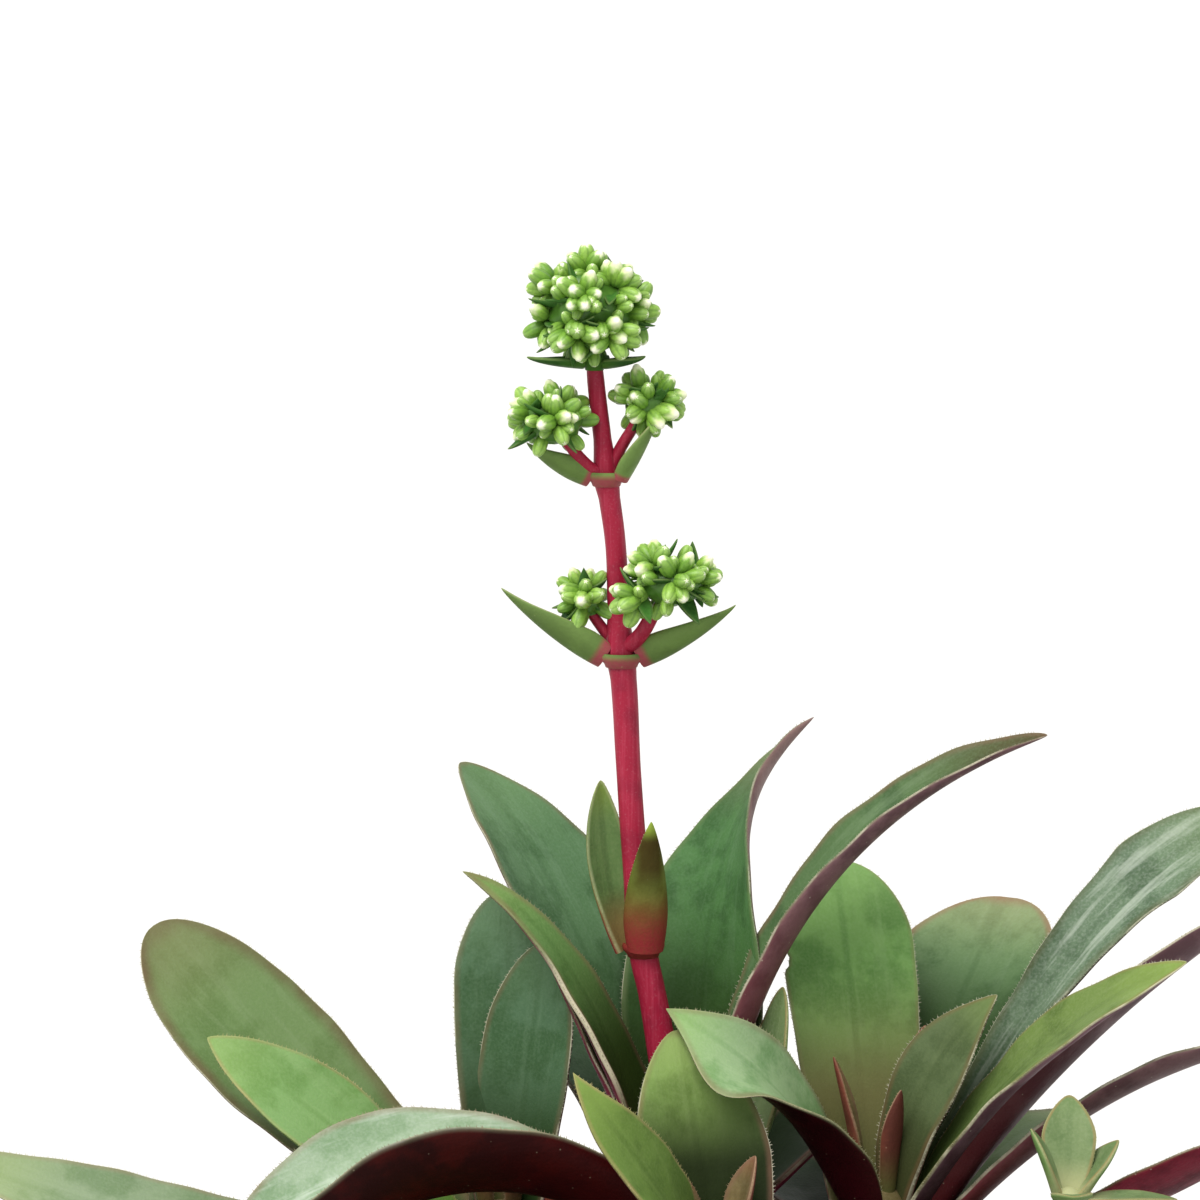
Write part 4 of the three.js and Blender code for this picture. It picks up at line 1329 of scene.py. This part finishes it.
@dataclass(frozen=True)
class Bud:
    """One closed bud: five sepals round a dome of petals."""

    radius: float = 1.05
    half_length: float = 1.85
    out: float = 2.3
    spread: float = 50.0

    HALF_SEPALS = 2.5
    LOBE_RISE = 0.15
    LIP = 0.05  # share of the length over which a sepal's edge ends
    SEAM = 0.24
    DOME = 0.8  # radius of the petals as a share of the bud's, and how deep their seams are
    DOME_SEAM = 0.05
    COAT = 1.05  # the same of the sepals
    COAT_SEAM = 0.24
    TAPER = 0.12  # how much the bud narrows above its shoulder
    SHOULDER = 0.6

    def model(self, stage: BudStage) -> Piece:
        """Models a bud on its foot-to-tip axis, with the marks that its skin reads.

        Args:
            stage: How far the bud is open.

        Returns:
            The bud.
        """
        piece = add(bpy.ops.mesh.primitive_uv_sphere_add, segments=30, ring_count=16, radius=MM)
        ball = points_of(piece)
        polar = np.arccos(np.clip(-ball[:, 2], -1, 1))
        theta = np.arctan2(ball[:, 1], ball[:, 0])
        lobe = np.abs(np.cos(self.HALF_SEPALS * theta))
        height = polar / math.pi
        limit = stage.value + self.LOBE_RISE * lobe**0.7
        sepal = np.clip((limit - height) / self.LIP + 0.5, 0, 1)
        sepal = sepal * sepal * (3 - 2 * sepal)
        seam = np.exp(-((lobe / self.SEAM) ** 2))
        body = np.sin(polar) ** 0.8 * (1 - self.TAPER * np.clip(height - self.SHOULDER, 0, 1))
        dome = self.DOME * (1 - self.DOME_SEAM * seam)
        coat = self.COAT - self.COAT_SEAM * seam
        width = body * self.radius * (dome * (1 - sepal) + coat * sepal)
        rise = -np.cos(polar) * self.half_length
        set_points(piece, np.stack([np.cos(theta) * width, np.sin(theta) * width, rise], 1))
        mark(piece, "bud", sepal, height, 0.0)
        mark(piece, "form", lobe, height, 0.0)
        close_shell(piece)
        return piece


def leaning(turn: Quaternion, lean: float, around: float) -> Vector:
    """Turns a direction that leans away from Y, by an angle round Y."""
    flat = math.sin(lean)
    return turn @ Vector((flat * math.cos(around), math.cos(lean), flat * math.sin(around)))


@dataclass(frozen=True)
class BudHead:
    """A head of buds in clusters, with pointed scales between them."""

    node: str
    at: Spot
    core: Spot
    foot: Spot
    clusters: tuple[tuple[float, float, float, int], ...]  # azimuth, elevation, reach and count
    scales: tuple[Spot, ...]  # azimuth, elevation and reach
    bud: Bud = Bud()

    FILLERS = 1.6  # small buds to a square millimetre of the core's mean radius squared
    GOLDEN_TURN = 137.5
    LEANS = (-15, 9)
    JITTER = 0.13
    SIZES = (0.76, 1.02)
    SMALL_SIZES = (0.6, 0.75)
    FILLER_SIZES = (0.62, 0.85)
    FILLER_JITTER = 0.12
    STAGE_ODDS = (2, 3, 3)
    REACHES = (0.84, 1.2)
    SCALE_LEAN = 28
    SCALE_WIDTH = 3.4
    SCALE_SHORTER = 1.2
    SMALL_SCALE_LENGTHS = (4.2, 5.4)
    SMALL_SCALE_WIDTH = 2.0
    SMALL_SCALE_ROOT = 0.4
    SMALL_REACH = 1.9
    FILLER_RISE = 0.5
    AROUND = 0.3  # how far a bud strays round its cluster, in radians
    LUMPS = (0.94, 0.12, 3.1)  # the core's size, its unevenness and the pitch of that
    SMOOTHED = 70  # degrees

    def bud_places(self, dice: random.Random) -> tuple[dict[BudStage, list[np.ndarray]], list[np.ndarray]]:
        """Finds where each bud stands, and where small scales point out between them.

        Args:
            dice: The head's own random numbers.

        Returns:
            A matrix for each bud, by its stage, and the foot and direction of each scale.
        """
        places: dict[BudStage, list[np.ndarray]] = {stage: [] for stage in BudStage}
        scale_aims = []
        for azimuth, elevation, reach, count in self.clusters:
            out = aim(azimuth, elevation)
            middle = np.array(self.at) + out * reach
            turn = Vector((0, 1, 0)).rotation_difference(Vector(out))
            for number in range(count):
                lean = 0.0 if number == 0 else math.radians(self.bud.spread + dice.uniform(*self.LEANS))
                around = math.tau * number / (count - 1) + azimuth + dice.uniform(-self.AROUND, self.AROUND)
                stray = Vector([dice.gauss(0, self.JITTER) for _ in range(3)])
                direction = np.array(leaning(turn, lean, around) + stray)
                direction /= np.linalg.norm(direction)
                size = dice.uniform(*self.SIZES)
                axes = basis(direction, dice.uniform(0, math.tau)) * size
                stage = dice.choices(list(BudStage), self.STAGE_ODDS)[0]
                spot = middle + direction * self.bud.out * dice.uniform(*self.REACHES)
                places[stage].append(np.column_stack([axes, spot]))
            lean = math.radians(self.bud.spread + self.SCALE_LEAN)
            for number in range(count - 1):
                around = math.tau * (number + 0.5) / (count - 1) + azimuth
                direction = np.array(leaning(turn, lean, around))
                if number % 2:
                    axes = basis(direction, dice.uniform(0, math.tau)) * dice.uniform(*self.SMALL_SIZES)
                    spot = middle + direction * self.SMALL_REACH
                    places[BudStage.TIGHT].append(np.column_stack([axes, spot]))
                else:
                    scale_aims.append((middle, direction))
        places[BudStage.TIGHT].extend(self.fillers(dice))
        return places, scale_aims

    def fillers(self, dice: random.Random) -> list[np.ndarray]:
        """Finds where small buds fill the gaps on the core, spread evenly round it.

        Args:
            dice: The head's own random numbers.

        Returns:
            A matrix for each bud.
        """
        core = np.array(self.core)
        count = int(self.FILLERS * core.mean() ** 2)
        spots = []
        for number in range(count):
            rise = math.degrees(math.asin(1 - 2 * (number + 0.5) / count))
            stray = [dice.gauss(0, self.FILLER_JITTER) for _ in range(3)]
            direction = aim(number * self.GOLDEN_TURN, rise) + stray
            direction /= np.linalg.norm(direction)
            axes = basis(direction, dice.uniform(0, math.tau)) * dice.uniform(*self.FILLER_SIZES)
            spots.append(np.column_stack([axes, np.array(self.at) + direction * (core + self.FILLER_RISE)]))
        return spots

    def scale(self, name: str, start: np.ndarray, way: np.ndarray, length: float, width: float) -> Piece:
        """Models one pointed scale.

        Args:
            name: Its name.
            start: Where its foot is.
            way: Where it points.
            length: Its length.
            width: Its width.

        Returns:
            The scale.
        """
        heading = math.degrees(math.atan2(way[1], way[0]))
        rise = math.degrees(math.asin(max(-1.0, min(1.0, way[2]))))
        shape = {"cup": (45, 25), "point": 1.0, "widest": 0.4, "wave": 0.05, "hair": 0.0}
        return Blade(name, heading, (rise - 6, rise + 8), length, width, **shape).build(start, SCALE)

    def build(self, skin: Material, scale_skin: Material) -> None:
        """Models the core, the buds and the scales as one piece.

        Args:
            skin: The buds' finish.
            scale_skin: The scales' finish.
        """
        dice, centre = random.Random(self.node), np.array(self.at)
        core = add(bpy.ops.mesh.primitive_ico_sphere_add, subdivisions=4, radius=MM)
        points = points_of(core)
        size, uneven, pitch = self.LUMPS
        lumps = np.array([noise.noise(Vector(point) * pitch) for point in points])
        set_points(core, points * np.array(self.core) * (size + uneven * lumps)[:, None] + centre)
        green = [core, draw_stem("head_stem", [(*self.foot, 1.0), (*self.at, 1.0)])]
        for part in green:
            mark(part, "bud", 1.0, 0.1, 0.2)
            mark(part, "form", 0.5, 0.1, 0.0)
        places, scale_aims = self.bud_places(dice)
        for stage, spots in places.items():
            tones = np.array([dice.random() for _ in spots])
            green.append(repeat(self.bud.model(stage), np.array(spots), f"buds_{stage.name}", tones))
        buds = join(green, f"{self.node}_buds")
        dress(buds, skin)
        blades = []
        for number, (azimuth, elevation, reach) in enumerate(self.scales):
            way, length = aim(azimuth, elevation), reach - self.SCALE_SHORTER
            blades.append(self.scale(f"s{number}", centre + way, way, length, self.SCALE_WIDTH))
        for number, (spot, way) in enumerate(scale_aims):
            length = dice.uniform(*self.SMALL_SCALE_LENGTHS)
            foot = spot - way * self.SMALL_SCALE_ROOT
            blades.append(self.scale(f"t{number}", foot, way, length, self.SMALL_SCALE_WIDTH))
        scales = join(blades, f"{self.node}_scales")
        dress(scales, scale_skin)
        head = join([buds, scales], f"{self.node}_grown")
        smooth(head, self.SMOOTHED)
        deliver(head, self.node)


BUD_HEADS = (
    BudHead(
        "bud_head_top", (-5.8, 4, 194.4), (5.7, 5.7, 5.2), (-5.5, 4, 189.0),
        (
            (180, 84, 4.2, 6), (190, 34, 4.8, 5), (318, 40, 4.5, 6), (352, 0, 4.7, 5), (188, -14, 4.8, 5),
            (246, -26, 4.6, 6), (300, -26, 4.7, 6), (256, 24, 4.5, 6), (112, 4, 4.4, 5), (48, 2, 4.6, 5),
        ),
        ((202, 12, 8.6), (335, 28, 7.8), (350, -12, 8.2), (190, -36, 8.6), (215, -22, 7.8), (330, -38, 7.8)),
    ),
    BudHead(
        "bud_head_mid_left", (-10.6, 1.2, 181.4), (3.8, 3.4, 2.8), (-9.2, 1.7, 179.6),
        ((185, 20, 2.0, 6), (285, 10, 2.0, 6), (50, 35, 1.8, 6)), ((198, -30, 6.6), (300, 10, 5.2)),
    ),
    BudHead(
        "bud_head_mid_right", (0.9, 4, 183.4), (2.9, 2.9, 2.5), (-0.3, 4, 181.0),
        ((0, 15, 1.2, 6), (205, 40, 1.1, 5), (275, -30, 1.0, 5)), ((10, -25, 4.8), (240, 30, 4.6)),
    ),
    BudHead(
        "bud_head_low_left", (-6.4, 4.8, 159.6), (2.2, 2.2, 2.2), (-5.9, 4.7, 157.6),
        ((180, 60, 0.3, 6), (262, -10, 0.3, 4)), ((200, -40, 5.2),),
    ),
    BudHead(
        "bud_head_low_right", (3.6, -1.0, 162.2), (4.0, 3.2, 2.9), (2.0, 0.8, 159.0),
        ((5, 10, 2.6, 6), (190, 44, 2.3, 6), (285, 15, 2.0, 6), (196, -22, 3.9, 6)),
        ((350, -15, 6.4), (325, -48, 6.6)),
    ),
)


# Offset plantlet


@dataclass(frozen=True)
class Plantlet:
    """A small offset at the end of its runner."""

    runner: tuple[Spot, ...] = ((31.5, -3.5, 79.5), (34.5, -9, 83.5), (41.5, -19, 87.2), (49.6, -23.5, 91.6))
    radius: float = 0.8
    core: Spot = (50, -23.5, 91.8)
    core_radius: float = 1.9
    blades: tuple[Blade, ...] = tuple(
        Blade(name, heading, rise, length, width, cup=(35, 15), point=point, wave=0.15, hair=0.2)
        for name, heading, rise, length, width, point in (
            ("offset_a", 85, (74, 68), 12.5, 6.6, 0.55),
            ("offset_b", 170, (72, 60), 9.5, 4.5, 0.6),
            ("offset_c", 15, (58, 46), 9, 5, 0.7),
            ("offset_d", 350, (8, 0), 12, 5, 0.8),
            ("offset_e", 270, (30, 10), 6.5, 5, 0.5),
        )
    )

    ROOT_SHARE = 0.4  # where the leaves begin, as a share of the bulb's radius

    def build(self, skin: Material) -> None:
        """Models the runner, the bud at its end and its small leaves.

        Args:
            skin: The plantlet's finish.
        """
        parts = [draw_stem("runner", [(*spot, self.radius) for spot in self.runner])]
        ball, place = bpy.ops.mesh.primitive_ico_sphere_add, Vector(self.core) * MM
        parts.append(add(ball, subdivisions=4, radius=self.core_radius * MM, location=place))
        bpy.ops.object.transform_apply()
        for part, share in zip(parts, (0.3, 0.1)):
            mark(part, "leaf", 2.0, 0.0, 1.0)
            mark(part, "edge", FAR_FROM_RIM, share, 0.0)
            smooth(part)
        for blade in self.blades:
            start = np.array(self.core) + aim(blade.heading, 0) * self.core_radius * self.ROOT_SHARE
            parts.append(blade.build(start, YOUNG_LEAF))
        deliver(join(parts, "offset_plantlet_grown"), "offset_plantlet", skin)


# Pot and soil


@dataclass(frozen=True)
class Pot:
    """A thin-walled nursery pot with a rim band and drain holes."""

    height: float = 80.0
    base_radius: float = 31.0
    neck_radius: float = 41.5
    rim_radius: float = 45.0
    band_height: float = 14.0
    band_step: float = 1.8
    lip: float = 1.4
    wall: float = 1.4
    floor: float = 2.0
    foot: float = 1.0
    ribs: Pair = (12.0, 14.2)
    drain_count: int = 6
    drain_radius: float = 3.5
    drain_ring: float = 21.0
    steps: int = 128
    softening: float = 0.25
    sharp: float = 28.0  # degrees from which an edge is softened

    @property
    def neck(self) -> float:
        """Height of the step under the rim band."""
        return self.height - self.band_height

    @property
    def band(self) -> float:
        """Radius of the rim band at its foot."""
        return self.neck_radius + self.band_step

    def profile(self) -> list[Pair]:
        """Draws the wall's outline.

        Returns:
            Radius and height of each point, from the middle of the underside out, up, over and back in.
        """
        height, lip, rim, base, wall = self.height, self.lip, self.rim_radius, self.base_radius, self.wall
        neck, step = self.neck, self.band_step
        ribs = []
        for level in self.ribs:
            radius = base + (self.neck_radius - base) * level / neck
            ribs += [(radius, level - 0.6), (radius + 0.25, level), (radius + 0.05, level + 0.6)]
        return [
            (0.0, 0.6), (12.0, 0.6), (12.6, 0.9), (26.4, 0.9), (27.0, 0.0), (base - self.foot, 0.0),
            (base - 0.2, 0.4), (base, self.foot), *ribs, (self.neck_radius, neck - step / 2),
            (self.band, neck + step / 2), (rim - 0.75, height - 2.3 * lip), (rim - 0.1, height - 1.6 * lip),
            (rim, height - lip), (rim - 0.2, height - lip / 2), (rim - lip / 2, height),
            (rim - 1.6 * lip, height), (rim - 2 * lip, height - lip / 2),
            (self.band - wall, neck + 1.5 * step), (self.neck_radius - wall, neck - step / 2),
            (base - wall, self.floor), (0.0, self.floor),
        ]

    def build(self, plastic: Material) -> None:
        """Spins the wall, cuts the drain holes and softens the edges.

        Args:
            plastic: The pot's finish.
        """
        wall = spin_up("pot_moulded", self.profile(), self.steps)
        drill = {"vertices": 32, "radius": self.drain_radius * MM, "depth": 4 * self.floor * MM}
        for number in range(self.drain_count):
            around = math.tau * number / self.drain_count
            spot = Vector((math.cos(around), math.sin(around), 0)) * self.drain_ring * MM
            cutter = add(bpy.ops.mesh.primitive_cylinder_add, location=spot, **drill)
            apply_modifier(wall, "BOOLEAN", object=cutter, operation="DIFFERENCE", solver="EXACT")
            bpy.data.objects.remove(cutter)
        edges = {"limit_method": "ANGLE", "angle_limit": math.radians(self.sharp)}
        apply_modifier(wall, "BEVEL", width=self.softening * MM, segments=2, **edges)
        smooth(wall, 40)
        deliver(wall, "pot", plastic)


@dataclass(frozen=True)
class Soil:
    """Peat with bark and perlite, filled to just under the rim."""

    pot: Pot
    level: float = 75.5
    relief: float = 0.7
    grains: int = 620
    clearance: float = 0.3
    rings: int = 60
    steps: int = 160

    SHORT_OF_EDGE = 2.0  # how far in from the edge the grains stay
    PROUD = 0.15  # how far a grain's middle lies above the soil, as a share of its size
    BROKEN = (0.75, 0.9, 1.7)  # a grain's least size, its unevenness and the pitch of that

    def height_at(self, x: float, y: float) -> float:
        """Finds the height of the soil's surface, with its lumps and crumbs.

        Args:
            x: To the right.
            y: Away from the viewer.

        Returns:
            The height.
        """
        lumps = math.sin(x * 0.31 + 1.3) * math.cos(y * 0.27 - 0.6) + 0.6 * math.sin(x * 0.71 - y * 0.83)
        crumb = noise.noise(Vector((x, y, 3.0)) * 0.45) * 0.5 + noise.noise(Vector((x, y, 7.0)) * 1.3) * 0.3
        return self.level + self.relief * lumps + crumb

    @property
    def edge(self) -> float:
        """Finds the radius of the soil at its surface.

        Returns:
            The radius.
        """
        inner = self.pot.band - self.pot.wall
        share = (self.level - self.pot.neck) / self.pot.band_height
        return inner + (self.pot.rim_radius - 2 * self.pot.lip - inner) * share - 2 * self.clearance

    def body(self) -> Piece:
        """Spins the plug of soil and roughens its top.

        Returns:
            The plug.
        """
        pot, gap, edge = self.pot, self.clearance, self.edge
        profile = [
            (0.0, pot.floor + gap), (pot.base_radius - pot.wall - 2 * gap, pot.floor + gap),
            (pot.neck_radius - pot.wall - 2 * gap, pot.neck + pot.band_step), (edge, self.level - 1),
        ]
        profile += [((edge - 0.4) * ring / self.rings, self.level) for ring in range(self.rings, -1, -1)]
        plug = spin_up("soil_loose", profile, self.steps)
        points = points_of(plug)
        for number, (x, y, z) in enumerate(points):
            if z > self.level - 0.5:
                points[number, 2] = self.height_at(x, y)
        set_points(plug, points)
        smooth(plug, 80)
        return plug

    def crumbs(self, name: str, count: int, sizes: Pair, seed: int) -> Piece:
        """Strews broken grains over the surface.

        Args:
            name: The grains' name.
            count: How many.
            sizes: The least and the greatest radius.
            seed: The seed of their random numbers.

        Returns:
            The grains as one piece.
        """
        dice = random.Random(seed)
        grain = add(bpy.ops.mesh.primitive_ico_sphere_add, subdivisions=2, radius=MM)
        points = points_of(grain)
        shift = Vector((seed, 0, 0))
        least, uneven, pitch = self.BROKEN
        sizes_at = [least + uneven * abs(noise.noise(Vector(point) * pitch + shift)) for point in points]
        set_points(grain, points * np.array(sizes_at)[:, None])
        places = []
        reach = self.edge - self.SHORT_OF_EDGE
        for _ in range(count):
            radius = reach * math.sqrt(dice.random())
            around = dice.uniform(0, math.tau)
            x, y = radius * math.cos(around), radius * math.sin(around)
            size = dice.uniform(*sizes)
            axes = basis(aim(dice.uniform(0, 360), dice.uniform(-90, 90)), dice.uniform(0, math.tau))
            axes = axes * size * np.array([1.0, dice.uniform(0.6, 1.0), dice.uniform(0.5, 0.9)])
            places.append(np.column_stack([axes, [x, y, self.height_at(x, y) + size * self.PROUD]]))
        return repeat(grain, np.array(places), name, np.zeros(count))

    def build(self, peat: Material, bark: Material, perlite: Material) -> None:
        """Models the plug and its grains as one piece with three finishes.

        Args:
            peat: The finish of the plug and its crumbs.
            bark: The finish of the chips.
            perlite: The finish of the white grains.
        """
        finishes = {
            self.body(): peat,
            self.crumbs("peat_crumbs", self.grains, (0.4, 1.1), 3): peat,
            self.crumbs("bark", self.grains // 5, (0.7, 1.7), 5): bark,
            self.crumbs("perlite", self.grains // 7, (0.5, 1.2), 8): perlite,
        }
        for piece, skin in finishes.items():
            dress(piece, skin)
        deliver(join(list(finishes), "soil_loose"), "soil")


# Studio


@dataclass(frozen=True)
class Studio:
    """A white table and backdrop, soft light from all round and a long lens at the photograph's angle."""

    target: Spot = (-4.8, 0.0, 160.0)
    distance: float = 600.0
    elevation: float = 7.0
    lens: float = 150.0
    sensor: float = 36.0
    sees: Pair = (0.01, 900.0)  # metres, nearest and farthest
    floor_half: float = 200.0  # metres, so that its far edge lies above the picture
    sky: float = 0.78
    sun: float = 3.5
    sun_way: Spot = (0.35, 0.6, -1.0)
    sun_spread: float = 45.0  # degrees, as broad as a large softbox
    sun_colour: str = "#fffcf6"

    def floor(self) -> None:
        """Lays the pale floor."""
        floor = add(bpy.ops.mesh.primitive_plane_add, size=2 * self.floor_half, location=(0, 0, 0))
        floor.name = "pale_floor"
        dress(floor, Paper().material("matt_white_paper"))

    def light(self) -> None:
        """Hangs one broad far light over a white sky."""
        world = bpy.data.worlds.new("white_studio")
        world.use_nodes = True
        world.node_tree.nodes.clear()
        sky = add_node(world.node_tree, "Background", {"Color": (1, 1, 1, 1), "Strength": self.sky})
        add_node(world.node_tree, "OutputWorld", {"Surface": sky})
        bpy.context.scene.world = world
        way = Vector(self.sun_way)
        lamp = add(bpy.ops.object.light_add, type="SUN", location=-way)
        lamp.name = "soft_overhead"
        lamp.data.angle = math.radians(self.sun_spread)
        lamp.data.energy = self.sun
        lamp.data.color = linear(self.sun_colour)[:3]
        lamp.rotation_mode = "QUATERNION"
        lamp.rotation_quaternion = way.to_track_quat("-Z", "Y")

    def camera(self) -> None:
        """Sets the camera up where the photograph was taken from."""
        slope = math.radians(self.elevation)
        back = Vector((0, -math.cos(slope), math.sin(slope)))
        spot = (Vector(self.target) + back * self.distance) * MM
        camera = add(bpy.ops.object.camera_add, location=spot)
        camera.name = "long_lens"
        camera.rotation_mode = "QUATERNION"
        camera.rotation_quaternion = (-back).to_track_quat("-Z", "Y")
        camera.data.lens = self.lens
        camera.data.sensor_width = self.sensor
        camera.data.clip_start, camera.data.clip_end = self.sees
        bpy.context.scene.camera = camera

    def build(self) -> None:
        """Lays the floor, and sets up the light and the camera."""
        self.floor()
        self.light()
        self.camera()
        bpy.context.scene.view_settings.view_transform = "Standard"


def main() -> None:
    """Loads the frame, builds the plant in order and sets up the studio."""
    logging.basicConfig(level=logging.INFO, format="%(name)s: %(message)s")
    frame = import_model()
    skins = {tone: tone.value.material(f"fleshy_leaf_{tone.name.lower()}") for tone in Tone}
    pot = Pot()
    pot.build(PotPlastic().material("moulded_terracotta_polypropylene"))
    Soil(pot).build(
        GroundSkin("#1d130d", "#33241a", "#4c3829", 700.0).material("damp_peat"),
        GroundSkin("#3b2415", "#5c3c26", "#7d5a3c", 900.0).material("broken_bark"),
        GroundSkin("#b5aea2", "#d2cdc2", "#eeeae0", 600.0).material("dusty_perlite"),
    )
    for rosette in ROSETTES:
        rosette.build(skins)
    stalk = FlowerStalk()
    stalk.build(StalkSkin().material("waxy_crimson_stalk"))
    for pair in BRACT_PAIRS:
        pair.build(stalk, skins[pair.tone])
    bud_skin = BudSkin().material("shiny_bud_sepals_and_cream_petals")
    for head in BUD_HEADS:
        head.build(bud_skin, skins[Tone.BUD_SCALE])
    Plantlet().build(skins[Tone.OFFSET])
    Studio().build()
    plain = [name for name, node in frame["nodes"].items() if not node.hide_render]
    LOG.info("packed nodes without a piece of their own: %s", plain or "none")


if __name__ == "__main__":
    main()
